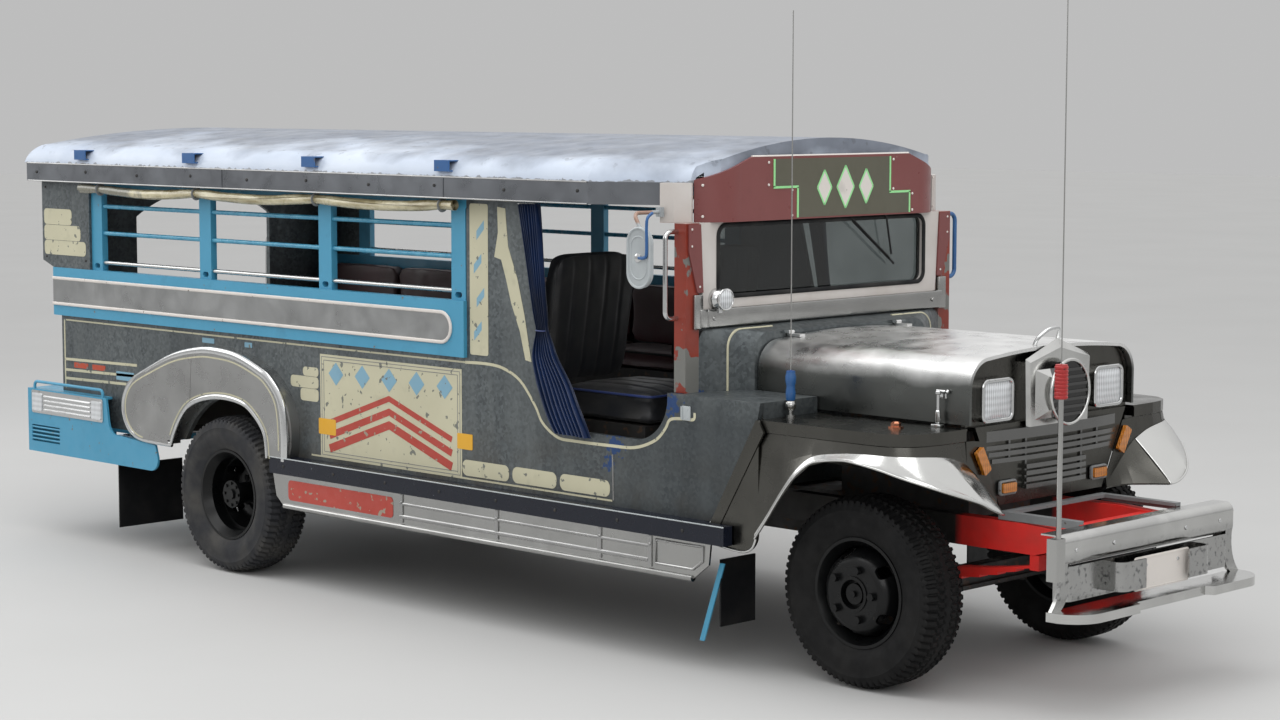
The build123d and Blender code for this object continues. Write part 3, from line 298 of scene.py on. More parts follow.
def chrome(name="chrome", colour=srgb(205, 206, 206), rough=0.09):
    look = Look(name, colour, rough, 1.0)
    look.colour(look.over(colour, look.patches(55, 5, 0.62, 0.75), srgb(120, 112, 100), 0.4))
    return look.worn(12, 4, rough * 0.8, rough * 2.6, 0.35, 0.75)


def paint(name, colour, rough=0.35, under=srgb(96, 92, 86), chips=0.70, fade=0.25, coat=0.15, shine=0.5):
    """Brushed-on gloss paint with soft fading, and chips down to the sheet."""
    look = Look(name, colour, rough, 0.0, Coat_Weight=coat, Coat_Roughness=0.2, Specular_IOR_Level=shine)
    tone = look.over(colour, look.patches(3.2, 5), tint(colour, 1.25, 0.03), fade)
    tone = look.over(tone, look.patches(11, 4, 0.6, 0.8, 0, 0.5), tint(colour, 0.7))
    look.colour(look.over(tone, look.patches(28, 9, chips, chips + 0.02), under))
    return look.worn(16, 4, rough * 0.8, rough * 1.45).grained(45, 4, 0.0012, 0.18)


def roof_paint():
    """Pale bluish white, washed out, peeling along the eaves and stained down the shoulder."""
    look = Look("roof_paint", srgb(196, 206, 220), 0.42)
    edge = look.plus(look.span(look.z, 2.018, 2.000), look.patches(26, 8, 0.3, 0.7, -0.7, 0.3))
    worn = look.plus(look.z, look.patches(3.0, 7, 0.3, 0.7, -0.05, 0.05))
    forward = look.times(look.span(look.x, -0.6, 1.2), 0.035)
    crown = look.span(look.plus(worn, forward), 2.07, 2.15)
    slate = look.mix(look.patches(7, 8, 0.36, 0.66), srgb(114, 120, 132), srgb(90, 95, 105))
    flake = look.times(look.patches(20, 8, 0.63, 0.66), look.span(look.z, 2.04, 2.10))
    tone = look.mix(look.patches(1.6, 6, 0.35, 0.68), srgb(196, 205, 218), srgb(168, 179, 196))
    tone = look.over(tone, look.span(edge, 0.50, 0.60), srgb(132, 136, 142))
    tone = look.over(tone, crown, slate, 0.85)
    tone = look.over(tone, flake, srgb(92, 96, 104), 0.5)
    return look.colour(tone).worn(9, 4, 0.30, 0.55).grained(14, 6, 0.004, 0.3)


def rubber(name, colour=srgb(20, 21, 23), rough=0.6, dust=0.3):
    look = Look(name, colour, rough, 0.0, Specular_IOR_Level=0.25)
    look.colour(look.over(colour, look.patches(7, 6, 0.42, 0.72), srgb(76, 74, 70), dust))
    return look.worn(22, 4, rough * 0.85, min(1.0, rough * 1.2)).grained(150, 3, 0.0006, 0.3)


def vinyl(name, colour, rough=0.42):
    look = Look(name, colour, rough, 0.0, Sheen_Weight=0.1)
    look.colour(look.over(colour, look.patches(5, 5, 0.4, 0.75, 0, 0.5), srgb(70, 68, 64)))
    return look.worn(12, 4, rough * 0.8, rough * 1.3).bump(look.cells(420, "Distance"), 0.0006, 0.35)


def satin():
    look = Look("curtain_satin", srgb(18, 30, 58), 0.36, 0.0, Sheen_Weight=0.25, Sheen_Roughness=0.35)
    weave = look.noise(1.0, 2, look.scaled(900, 900, 200))
    look.colour(look.mix(look.patches(4, 4), srgb(12, 25, 50), srgb(22, 43, 82)))
    return look.worn(18, 3, 0.28, 0.46).bump(weave, 0.0004, 0.25)


def film():
    """Yellowed clear plastic sheet, glossy, with dirt in its folds."""
    look = Look("tarp_plastic", srgb(178, 168, 130), 0.22, 0.0, Coat_Weight=0.5, Coat_Roughness=0.1)
    fold = look.span(look.noise(3.2, 5, look.scaled(2.2, 9, 9)), 0.36, 0.66)
    rear = look.plus(look.span(look.x, -2.10, -2.36), look.patches(12, 4, 0.4, 0.7, -0.3, 0.2))
    tone = look.mix(fold, srgb(196, 188, 156), srgb(140, 128, 92))
    look.colour(look.over(tone, look.span(rear, 0.4, 0.6), srgb(120, 118, 104)))
    return look.worn(26, 4, 0.16, 0.4).bump(look.noise(24, 4, look.scaled(1, 3, 3)), 0.003, 0.5)


def lens(name, colour, rough, ribs):
    """Moulded lens glass with upright ribs, and painted shade that darkens the grooves between their crests.
    """
    look = Look(name, colour, rough, 0.0, Coat_Weight=0.8, Coat_Roughness=0.04)
    wave = look.math("SINE", look.times(look.plus(look.y, look.x), ribs))
    cross = look.math("SINE", look.times(look.z, ribs * 0.45))
    both = look.plus(wave, look.times(cross, 0.5))
    # painted shade: the colour drops to 0.55 of the glass's tone in the grooves between the ribs
    look.colour(look.mix(look.span(both, -1.4, 1.0), tint(colour, 0.55), colour))
    return look.worn(8, 3, rough * 0.7, rough * 1.4).bump(wave, 0.0015, 0.4)


def windscreen_glass():
    """Smoked sheet glass."""
    look = Look("glass", srgb(112, 120, 120), 0.0, 0.0, IOR=1.5, Transmission_Weight=1.0)
    return look.colour(look.mix(look.patches(3, 4), srgb(120, 128, 128), srgb(98, 106, 106)))


def screen_paint():
    """White surround; the side pillars are orange, peeling over grey, below the corner caps."""
    look = Look("screen_paint", srgb(214, 208, 202), 0.38, 0.0, Coat_Weight=0.15, Coat_Roughness=0.25)
    side = look.times(look.span(look.math("ABSOLUTE", look.y), 0.797, 0.801), look.span(look.z, 1.838, 1.832))
    cloud = look.patches(4, 5)
    white = look.over(srgb(204, 199, 195), cloud, srgb(172, 162, 154), 0.5)
    orange = look.mix(cloud, srgb(142, 46, 24), srgb(116, 36, 20))
    peel = look.span(look.plus(look.noise(9, 8), look.span(look.z, 1.5, 1.12, 0, 0.16)), 0.60, 0.62)
    orange = look.over(orange, peel, srgb(110, 110, 106))
    look.colour(look.mix(side, white, orange))
    return look.worn(18, 4, 0.3, 0.52).grained(30, 5, 0.0015, 0.3)


def bar_paint():
    """Window bars: blue, with the lowest bar bare metal."""
    look = Look("bar_paint", srgb(64, 143, 176), 0.3)
    low = look.span(look.z, 1.52, 1.515)
    blue = look.mix(look.patches(14, 4, 0.4, 0.7), srgb(60, 138, 170), srgb(80, 156, 184))
    return look.colour(look.mix(low, blue, srgb(196, 196, 194))).metal(low).worn(20, 3, 0.2, 0.36)


def nose_paint():
    """Bright steel block; the slatted disc's ground is black."""
    look = Look("nose_paint", srgb(206, 206, 204), 0.16, 1.0)
    radius = look.away(look.z, 1.173, look.y, 0.0)
    inside = look.span(radius, 0.1185, 0.1170)
    disc = look.times(look.span(radius, 0.1285, 0.1275), look.within(look.x, 2.8100, 2.8150, 0.0004))
    tone = look.over(srgb(210, 210, 208), look.patches(5, 5, 0.4, 0.7), srgb(150, 150, 148), 0.35)
    tone = look.over(tone, inside, srgb(92, 92, 92))
    look.colour(look.over(tone, disc, srgb(18, 18, 18))).metal(look.without(disc))
    return look.worn(10, 4, 0.12, 0.3, 0.35, 0.7)


def antenna_paint():
    """Chrome foot and ball, coloured coil and dark whip, on both antennas."""
    look = Look("antenna_paint", srgb(180, 180, 178), 0.2, 1.0)
    front = look.span(look.x, 2.8, 2.9)
    red = look.times(front, look.within(look.z, 1.226, 1.359))
    blue = look.times(look.without(front), look.within(look.z, 1.134, 1.256))
    painted = look.math("MAXIMUM", red, blue)
    tone = look.over(srgb(176, 176, 174), red, srgb(158, 28, 26))
    look.colour(look.over(tone, blue, srgb(34, 78, 150))).metal(look.without(painted))
    return look.rough(look.span(painted, 0.0, 1.0, 0.18, 0.4))


def bumper_steel():
    """Bright rolled channel and lip; the box bar between them carries painted shade in uneven patches, a
    painted reflection of the dark road.
    """
    look = steel("bumper_steel", srgb(198, 198, 196), 0.13, 0.3)
    tone = look.shader.inputs["Base Color"].links[0].from_socket
    # painted shade: the box bar darkens in patches, standing in for dark surroundings reflected in it
    bar = look.within(look.z, 0.43, 0.61, 0.02)
    return look.colour(look.over(tone, bar, srgb(84, 85, 86), look.patches(46, 6, 0.56, 0.66, 0.35, 0.8)))


def mirror_paint():
    """Grey shell and arm on the right; the bare tube on the left is blue."""
    look = Look("mirror_paint", srgb(166, 172, 174), 0.34, 0.0, Coat_Weight=0.3, Coat_Roughness=0.2)
    cloud = look.patches(6, 4)
    arm = look.times(look.span(look.z, 1.835, 1.845), look.span(look.y, -0.95, -0.96))
    grey = look.mix(cloud, srgb(170, 176, 178), srgb(146, 151, 154))
    grey = look.over(grey, arm, srgb(150, 120, 104))
    blue = look.mix(cloud, srgb(34, 84, 138), srgb(46, 100, 152))
    return look.colour(look.mix(look.span(look.y, 0.4, 0.5), grey, blue)).worn(16, 4, 0.28, 0.5)


def chassis_paint():
    """Black frame with red front horns, both dusty."""
    look = Look("chassis_paint", srgb(34, 33, 32), 0.55)
    dust = look.times(look.patches(6, 6, 0.42, 0.72), 0.4)
    tone = look.mix(look.span(look.x, 2.52, 2.56), srgb(30, 29, 28), srgb(222, 40, 34))
    look.colour(look.over(tone, dust, srgb(74, 62, 52), 0.7))
    return look.worn(20, 4, 0.45, 0.7).grained(50, 4, 0.001, 0.3)


looks = {
    "galvanised": galvanised(),
    "stainless": steel("stainless", srgb(166, 166, 164), 0.17),
    "polished": steel("polished", srgb(206, 206, 204), 0.12, 0.15),
    # the hood's shade tuple is painted shade: its sides darken from 1.325 m down to 1.225 m, a painted
    # reflection of dark surroundings
    "hood_steel": steel("hood_steel", srgb(240, 240, 239), 0.27, 0.10, (1.325, 1.225, srgb(104, 106, 104))),
    "dark_steel": steel("dark_steel", srgb(88, 87, 83), 0.22, 0.5),
    "bar_steel": steel("bar_steel", srgb(122, 122, 121), 0.16, 0.3),
    "dull_steel": steel("dull_steel", srgb(168, 168, 167), 0.26, 0.4),
    "belt_steel": steel("belt_steel", srgb(172, 173, 173), 0.30, 0.6),
    "eave_steel": steel("eave_steel", srgb(128, 131, 136), 0.28, 0.5),
    "bumper_steel": bumper_steel(),
    "floor": steel("floor_plate", srgb(120, 118, 114), 0.42, 0.6),
    "chrome": chrome(),
    "copper": chrome("copper", srgb(178, 118, 92), 0.22),
    "blue": paint("blue_paint", srgb(64, 143, 176), 0.38, srgb(110, 104, 94), 0.71),
    "deep_blue": paint("deep_blue", srgb(34, 84, 138), 0.36, srgb(90, 84, 76), 0.69),
    "navy": paint("navy_paint", srgb(13, 18, 32), 0.26, srgb(104, 112, 118), 0.70, 0.03, 0.1, 0.3),
    "maroon": paint("maroon_paint", srgb(116, 58, 56), 0.34, srgb(150, 120, 112), 0.74, 0.2, 0.3),
    "olive": paint("olive_paint", srgb(84, 82, 68), 0.4, srgb(110, 104, 94), 0.76, 0.15),
    "green": paint("green_paint", srgb(150, 220, 150), 0.4, srgb(110, 130, 100), 0.78, 0.1),
    "cream": paint("cream_paint", srgb(186, 182, 156), 0.5, srgb(112, 114, 106), 0.635, 0.35, 0.0),
    "yellow": paint("yellow_paint", srgb(214, 160, 40), 0.5, srgb(150, 120, 60), 0.70, 0.2, 0.0),
    "orange": paint("orange_paint", srgb(172, 66, 38), 0.45, srgb(108, 108, 104), 0.60, 0.2, 0.0),
    "pale_blue": paint("pale_blue_paint", srgb(120, 160, 180), 0.5, srgb(110, 112, 106), 0.66, 0.2, 0.0),
    "red": paint("red_paint", srgb(160, 26, 26), 0.42, srgb(70, 40, 34), 0.68, 0.2),
    "faded_red": paint("faded_red", srgb(168, 62, 50), 0.5, srgb(150, 140, 124), 0.62, 0.3, 0.0),
    "white": paint("white_paint", srgb(214, 208, 202), 0.36, srgb(120, 108, 98), 0.70, 0.15, 0.2),
    "grey": paint("grey_paint", srgb(118, 120, 121), 0.45, srgb(80, 74, 66), 0.68, 0.2, 0.0),
    "wheel": paint("wheel_black", srgb(7, 8, 9), 0.30, srgb(62, 58, 54), 0.74, 0.02, 0.08, 0.25),
    "black_steel": paint("black_steel", srgb(34, 33, 32), 0.5, srgb(72, 56, 44), 0.60, 0.3, 0.0),
    "engine": paint("engine_iron", srgb(58, 57, 56), 0.7, srgb(76, 58, 44), 0.58, 0.3, 0.0),
    "exhaust": paint("exhaust_steel", srgb(112, 88, 72), 0.6, srgb(70, 48, 36), 0.55, 0.3, 0.0),
    "shell_grey": paint("grey_plastic", srgb(166, 172, 174), 0.34, srgb(120, 120, 118), 0.78, 0.2, 0.3),
    "roof": roof_paint(),
    "screen": screen_paint(),
    "bars": bar_paint(),
    "nose": nose_paint(),
    "antenna": antenna_paint(),
    "mirror": mirror_paint(),
    "chassis": chassis_paint(),
    "rubber": rubber("black_rubber"),
    "flap": rubber("flap_rubber", srgb(10, 11, 14), 0.5, 0.15),
    "tyre": rubber("tyre_rubber", srgb(11, 11, 12), 0.66, 0.08),
    "dusty_tyre": rubber("dusty_tyre_rubber", srgb(42, 43, 46), 0.66, 0.7),
    "plastic": rubber("black_plastic", srgb(22, 22, 24), 0.4),
    "seat": vinyl("seat_vinyl", srgb(30, 32, 36)),
    "bench": vinyl("bench_vinyl", srgb(64, 24, 30)),
    "piping": vinyl("seat_piping", srgb(30, 52, 112), 0.4),
    "satin": satin(),
    "film": film(),
    "glass": windscreen_glass(),
    "mirror_glass": Look("mirror_glass", srgb(196, 204, 210), 0.03, 1.0),
    "lamp": lens("lamp_glass", srgb(220, 223, 226), 0.08, 520),
    "amber": lens("amber", srgb(206, 126, 34), 0.2, 500),
    "red_lens": lens("red_lens", srgb(150, 20, 18), 0.2, 500),
}

# The CAD's pieces by their look; the others are replaced below
NODES = {
    "galvanised": ("side_panels", "rear_wall", "cowl"),
    "stainless": ("side_skirts",),
    "hood_steel": ("hood",),
    "dark_steel": ("nose_shell", "front_fenders"),
    "bar_steel": ("grille",),
    "dull_steel": ("rear_fenders",),
    "eave_steel": ("eave_band",),
    "bumper_steel": ("front_bumper",),
    "chrome": ("front_lamps", "grab_handles"),
    "blue": ("belt_rails", "window_frames", "rear_bumper"),
    "deep_blue": ("roof_sockets",),
    "navy": ("running_boards",),
    "maroon": ("visor",),
    "grey": ("bumper_tray",),
    "wheel": ("front_wheel_right", "front_wheel_left", "rear_wheels_right", "rear_wheels_left"),
    "black_steel": (
        "front_axle", "rear_axle", "drive_shaft", "fuel_tank", "seat_frames", "steering_column",
        "knuckle_right", "knuckle_left", "tie_rod",
    ),
    "chassis": ("chassis_rails", "cross_members", "leaf_springs"),
    "engine": ("engine_block",),
    "exhaust": ("exhaust",),
    "floor": ("floor",),
    "roof": ("roof",),
    "screen": ("windshield_frame",),
    "glass": ("windshield_glass",),
    "bars": ("window_bars",),
    "nose": ("nose_block",),
    "antenna": ("whip_antennas",),
    "mirror": ("mirrors",),
    "amber": ("amber_lamps",),
    "flap": ("mud_flaps",),
    "plastic": ("steering_wheel",),
}


def dress_nodes():
    for look, names in NODES.items():
        for name in names:
            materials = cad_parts[name].data.materials
            materials.clear()
            materials.append(looks[look].material)


# Mesh tools; a form is its vertices and its faces


class Shape:
    """Vertices and faces gathered from many forms, then made into one piece."""

    def __init__(self, *forms):
        self.verts = []
        self.faces = []
        for verts, faces in forms:
            self.add(verts, faces)

    def add(self, verts, faces):
        base = len(self.verts)
        self.verts += [tuple(v) for v in verts]
        self.faces += [tuple(base + i for i in face) for face in faces]

    def both_sides(self):
        """Adds the twin on the other side of the vehicle."""
        twin = [(x, -y, z) for x, y, z in self.verts]
        self.add(twin, [tuple(reversed(face)) for face in self.faces])
        return self

    def piece(self, name, look, body=BODY, sharp=32, closed=True):
        mesh = bpy.data.meshes.new(name)
        mesh.from_pydata(self.verts, [], self.faces)
        form = bmesh.new()
        form.from_mesh(mesh)
        bmesh.ops.remove_doubles(form, verts=form.verts, dist=1e-6)
        if closed:
            bmesh.ops.recalc_face_normals(form, faces=form.faces)
        limit = math.radians(sharp)
        for face in form.faces:
            face.smooth = True
        for edge in form.edges:
            edge.smooth = len(edge.link_faces) != 2 or edge.calc_face_angle(0) < limit
        form.to_mesh(mesh)
        form.free()
        obj = bpy.data.objects.new(name, mesh)
        bpy.context.scene.collection.objects.link(obj)
        mesh.materials.append(looks[look].material)
        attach(obj, body)
        return obj


def on_side(y):
    """Maps (along, up, out) to a place on the right-hand side."""
    return lambda u, v, w: (u, -y - w, v)


def on_front(x):
    """Maps (left, up, out) to a place on a surface that faces forward."""
    return lambda u, v, w: (x + w, u, v)


def on_rear(x):
    """Maps (left, up, out) to a place on a surface that faces back."""
    return lambda u, v, w: (x - w, u, v)


def turns(count):
    return [2 * math.pi * k / count for k in range(count)]


def quads(rows, across, looped=False, wrapped=True):
    """Faces of a grid of points: looped joins its last row to its first, wrapped closes each row."""
    return [
        (i * across + k, i * across + (k + 1) % across,
         (i + 1) % rows * across + (k + 1) % across, (i + 1) % rows * across + k)
        for i in range(rows if looped else rows - 1)
        for k in range(across if wrapped else across - 1)
    ]


def caps(rows, across):
    """The two faces that close the ends of a wrapped grid."""
    return [tuple(range(across - 1, -1, -1)), tuple(range((rows - 1) * across, rows * across))]


def slab(outline, thick, place, back=-0.002):
    """A flat plate with this outline, this far proud of its surface, and sunk a little into it."""
    n = len(outline)
    verts = [place(u, v, thick) for u, v in outline] + [place(u, v, back) for u, v in outline]
    faces = [tuple(range(n)), tuple(range(2 * n - 1, n - 1, -1))]
    faces += [(i, i + n, (i + 1) % n + n, (i + 1) % n) for i in range(n)]
    return verts, faces


def arc(u, v, r, start, end, steps=6):
    angles = [math.radians(start + (end - start) * i / steps) for i in range(steps + 1)]
    return [(u + r * math.cos(t), v + r * math.sin(t)) for t in angles]


def rounded(u0, u1, v0, v1, r, steps=6):
    """A rectangle with round corners."""
    return (
        arc(u1 - r, v1 - r, r, 0, 90, steps) + arc(u0 + r, v1 - r, r, 90, 180, steps)
        + arc(u0 + r, v0 + r, r, 180, 270, steps) + arc(u1 - r, v0 + r, r, 270, 360, steps)
    )


def rectangle(u0, u1, v0, v1):
    return [(u0, v0), (u1, v0), (u1, v1), (u0, v1)]


def smooth(points, steps=6):
    """A Catmull-Rom line through the points."""
    ends = [points[0]] + list(points) + [points[-1]]
    line = []
    for p0, p1, p2, p3 in zip(ends, ends[1:], ends[2:], ends[3:]):
        for i in range(steps):
            t = i / steps
            line.append(tuple(
                0.5 * (2 * b + (c - a) * t + (2 * a - 5 * b + 4 * c - d) * t ** 2
                       + (3 * b - a - 3 * c + d) * t ** 3)
                for a, b, c, d in zip(p0, p1, p2, p3)
            ))
    return line + [tuple(points[-1])]


def stripe(line, width, thick, place, back=-0.002):
    """A thin strip of this width along a flat line."""
    verts = []
    for i, (u, v) in enumerate(line):
        a, b = line[max(i - 1, 0)], line[min(i + 1, len(line) - 1)]
        du, dv = b[0] - a[0], b[1] - a[1]
        size = math.hypot(du, dv) or 1
        nu, nv = -dv / size * width / 2, du / size * width / 2
        left, right = (u + nu, v + nv), (u - nu, v - nv)
        verts += [place(*left, thick), place(*right, thick), place(*right, back), place(*left, back)]
    return verts, quads(len(line), 4) + caps(len(line), 4)


def tube(points, radius, sides=10, closed=False, flat=1.0, flat_way=None):
    """A pipe along points; flat squeezes it along flat_way, and radius may be one value a point."""
    points = [Vector(p) for p in points]
    n = len(points)
    radii = radius if isinstance(radius, list) else [radius] * n
    verts, normal = [], None
    for i, point in enumerate(points):
        before = points[(i - 1) % n] if closed else points[max(i - 1, 0)]
        after = points[(i + 1) % n] if closed else points[min(i + 1, n - 1)]
        way = (after - before).normalized()
        if flat_way is not None:
            normal = Vector(flat_way)
        elif normal is None:
            normal = way.orthogonal()
        normal = (normal - way * normal.dot(way)).normalized()
        side = way.cross(normal)
        for turn in turns(sides):
            out = normal * math.cos(turn) * radii[i] * flat + side * math.sin(turn) * radii[i]
            verts.append(point + out)
    return verts, quads(n, sides, looped=closed) + ([] if closed else caps(n, sides))


def lathe(profile, centre, way, sides=24):
    """Turns (radius, height) points round an axis through centre."""
    way = Vector(way).normalized()
    a = way.orthogonal().normalized()
    b = way.cross(a)
    centre = Vector(centre)
    verts = [
        centre + way * h + (a * math.cos(turn) + b * math.sin(turn)) * max(r, 1e-5)
        for r, h in profile for turn in turns(sides)
    ]
    return verts, quads(len(profile), sides) + caps(len(profile), sides)


def backing_plate(x, y, inner, outer):
    """A thin upright ring with a bevelled edge, square to the wheels' axis."""
    half, bevel, sides = 0.002, 0.004, 36
    loop = [(inner, -half), (outer - bevel, -half), (outer, 0.0), (outer - bevel, half), (inner, half)]
    verts = [
        (x + r * math.sin(turn), y + h, TYRE_R + r * math.cos(turn)) for turn in turns(sides) for r, h in loop
    ]
    return verts, quads(sides, len(loop), looped=True)


def stud(place, way, r=0.006, h=0.004):
    """A domed screw head."""
    return lathe([(r, -0.001), (r, h * 0.4), (r * 0.75, h * 0.85), (r * 0.3, h)], place, way, 10)


def soft_box(centre, size, bevel, steps=3):
    """A box with rounded edges."""
    form = bmesh.new()
    bmesh.ops.create_cube(form, size=1)
    for vert in form.verts:
        vert.co = Vector([c * s for c, s in zip(vert.co, size)])
    bmesh.ops.bevel(form, geom=form.edges[:], offset=bevel, segments=steps, affect="EDGES", profile=0.5)
    verts = [v.co + Vector(centre) for v in form.verts]
    faces = [tuple(v.index for v in f.verts) for f in form.faces]
    form.free()
    return verts, faces


def lens_dome(place, u0, u1, v0, v1, r, rise):
    """A rounded rectangle that swells towards its middle."""
    rings, foot, lip = 6, -0.004, 0.001
    cu, cv = (u0 + u1) / 2, (v0 + v1) / 2
    outline = rounded(u0, u1, v0, v1, r)
    n = len(outline)
    verts = [place(u, v, foot) for u, v in outline]
    for i in range(rings):
        share = 1 - i / rings
        lift = rise * (1 - share ** 2) ** 0.8 + lip
        verts += [place(cu + (u - cu) * share, cv + (v - cv) * share, lift) for u, v in outline]
    verts.append(place(cu, cv, rise + lip))
    last = rings * n
    top = [(last + k, last + (k + 1) % n, len(verts) - 1) for k in range(n)]
    return verts, quads(rings + 1, n) + top + [tuple(range(n - 1, -1, -1))]


# Tyres

LUGS = 72
STEPS_A_LUG = 6
TREAD_DEPTH = 0.011
TREAD_HALF = 0.105
TREAD_ROWS = 44
WALL = [
    # across and radius of one sidewall, from the bead to the shoulder
    (-0.082, 0.213), (-0.088, 0.224), (-0.1000, 0.238), (-0.1010, 0.245), (-0.1095, 0.258),
    (-0.1165, 0.283), (-0.1192, 0.308), (-0.1180, 0.331), (-0.1196, 0.335), (-0.1178, 0.340),
    (-0.1150, 0.353), (-0.1115, 0.3645), (-0.1075, 0.3735),
]


def tread_cut(across, turn):
    """How deep the tread is cut at this place across the tyre; turn counts lugs."""
    zigzag = 0.005 * (abs((turn * 2) % 2 - 1) * 2 - 1)
    turn += 0.5 if across > 0 else 0.0
    across = abs(across)
    if across > 0.064:
        return TREAD_DEPTH if turn % 1 > 0.58 else 0.0
    if abs(across - 0.058 - zigzag) < 0.0052:
        return TREAD_DEPTH * 0.9
    if abs(across - 0.021 - zigzag * 0.8) < 0.0044:
        return TREAD_DEPTH * 0.8
    if 0.026 < across < 0.053 and (turn + 0.25) % 1 > 0.72:
        return TREAD_DEPTH * 0.7
    return 0.0


def tyre(x, y):
    """A bias-ply truck tyre: rings on the sidewall, notched shoulders and a zigzag block tread."""
    profile = list(WALL)
    for i in range(TREAD_ROWS + 1):
        across = -TREAD_HALF + 2 * TREAD_HALF * i / TREAD_ROWS
        round_off = 0.9 * max(0.0, abs(across) - 0.062) ** 1.25
        profile.append((across, 0.3878 - round_off - 0.12 * across ** 2))
    profile += [(-a, r) for a, r in reversed(WALL)]
    around = LUGS * STEPS_A_LUG
    verts = []
    for k, angle in enumerate(turns(around)):
        for across, r in profile:
            if abs(across) < 0.1125 and r > 0.36:
                r -= tread_cut(across, k / STEPS_A_LUG + 0.08)
            verts.append((x + r * math.sin(angle), y + across, TYRE_R + r * math.cos(angle)))
    return verts, quads(around, len(profile), looped=True)


def build_tyres():
    """Treaded tyres on all four wheels, and the backing plates seen through the hand holes."""
    for side, hand in SIDES:
        plate = Shape(backing_plate(REAR_AXLE, side * 0.757, 0.118, 0.242))
        plate.piece(f"rear_backing_plate_{hand}", "wheel", f"rear_wheels_{hand}")
        plate = Shape(backing_plate(FRONT_AXLE, side * 0.668, 0.060, 0.164))
        plate.piece(f"front_backing_plate_{hand}", "engine", f"knuckle_{hand}")
        for x, y, name, look, body, node in (
            (FRONT_AXLE, FRONT_TYRE_Y, "front_tread", "tyre", "front_wheel", "front_tyre"),
            (REAR_AXLE, REAR_TYRE_Y, "rear_treads", "dusty_tyre", "rear_wheels", "rear_tyres"),
        ):
            obj = Shape(tyre(x, side * y)).piece(f"{name}_{hand}", look, f"{body}_{hand}", 40)
            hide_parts(f"{node}_{hand}")


# Pieces


def single(name, look, *forms, **how):
    return Shape(*forms).piece(name, look, **how)


def pair(name, look, *forms):
    """One piece that holds these forms and their twins on the other side of the vehicle."""
    return Shape(*forms).both_sides().piece(name, look)


def blocks(place, thick, *boxes):
    """Flat blocks with round corners; a box is two places along, two places up and its corners' radius."""
    return [slab(rounded(*box), thick, place) for box in boxes]


def edges_of(corners):
    return list(zip(corners, corners[1:] + corners[:1]))


def towards(points, centre, by):
    """Moves flat points this far towards a centre."""
    return [
        tuple(p + (c - p) * by / math.dist(point, centre) for p, c in zip(point, centre)) for point in points
    ]


# Body sides


def build_belt():
    """Sheet inset between two half-round mouldings that join in a round front end."""
    low, high, front, rear = 1.252, 1.388, 0.112, -3.103
    r = (high - low) / 2
    place = on_side(BELT_Y)
    outline = [(rear, low)] + arc(front - r, (low + high) / 2, r, -90, 90, 14) + [(rear, high)]
    pair("belt_insets", "belt_steel", slab(outline, 0.0025, place))
    line = [place(u, v, 0.004) for u, v in outline]
    pair("belt_mouldings", "white", tube(line, 0.0085, flat=0.75, flat_way=ACROSS))


SWOOP = [
    (0.400, 1.872), (0.452, 1.866), (0.470, 1.700), (0.530, 1.560), (0.575, 1.400), (0.618, 1.200),
    (0.580, 1.206), (0.545, 1.330), (0.490, 1.450), (0.455, 1.560), (0.425, 1.640), (0.380, 1.650),
    (0.405, 1.760),
]
DOOR_LINE = [
    (0.183, 1.168), (0.317, 1.171), (0.432, 1.160), (0.546, 1.112), (0.641, 1.010), (0.689, 0.938),
    (0.783, 0.884), (0.893, 0.877), (1.107, 0.878), (1.257, 0.884), (1.375, 0.925), (1.433, 0.978),
    (1.462, 1.020), (1.530, 1.030), (1.595, 1.032), (1.602, 1.060),
]


def build_side_paint():
    """Cream blocks, swoop and lines on each side, with blocks of other paints and a seam."""
    place = on_side(SIDE_Y)
    lines = [
        (smooth(DOOR_LINE, 5), 0.013),
        ([(-3.02, 1.166), (-2.2, 1.166), (-1.0, 1.166), (0.183, 1.168)], 0.008),
        ([(-3.035, 1.166), (-3.035, 0.80)], 0.010),
    ]
    lines += [([(-3.03, v), (-2.372, v + 0.012)], 0.014) for v in (0.955, 0.898, 0.852)]
    lines.append(([(-0.93, 0.642), (-0.30, 0.642), (1.12, 0.642)], 0.008))
    pair(
        "cream_stripes", "cream",
        *blocks(
            place, PAINT, (0.161, 0.471, 0.655, 0.727, 0.030), (0.494, 0.776, 0.655, 0.727, 0.030),
            (0.798, 1.106, 0.655, 0.727, 0.030), (0.217, 0.338, 1.206, 1.882, 0.012),
            (-0.99, -0.872, 1.020, 1.064, 0.018), (-1.085, -0.872, 0.962, 1.018, 0.018),
            (-1.010, -0.872, 0.900, 0.960, 0.018),
        ),
        slab(SWOOP, PAINT, place),
        *(stripe(line, width, PAINT, place) for line, width in lines),
    )
    pair("rust_blocks", "orange", *blocks(
        place, PAINT, (-2.95, -2.82, 0.915, 0.943, 0.004), (-2.78, -2.66, 0.915, 0.943, 0.004)))
    flecks = [(0.245 + 0.018 * (i % 2), 1.27 + 0.15 * i) for i in range(4)]
    pair(
        "pale_blue_blocks", "pale_blue",
        *blocks(
            place, PAINT, (-2.56, -2.40, 0.880, 0.925, 0.004), (-1.80, -1.70, 1.125, 1.150, 0.004),
            (-1.45, -1.39, 1.125, 1.150, 0.004),
        ),
        *(slab([(u, v), (u + 0.05, v + 0.05), (u + 0.05, v + 0.09), (u, v + 0.04)], PAINT + 0.0004, place)
          for u, v in flecks),
    )
    pair("yellow_squares", "yellow", *blocks(
        place, PAINT + 0.0008, (-0.871, -0.742, 0.750, 0.826, 0.006), (0.127, 0.230, 0.773, 0.844, 0.006)))
    pair("side_seams", "dull_steel", tube([place(1.128, 0.645, 0.0), place(1.122, 0.842, 0.0)], 0.004, 8))


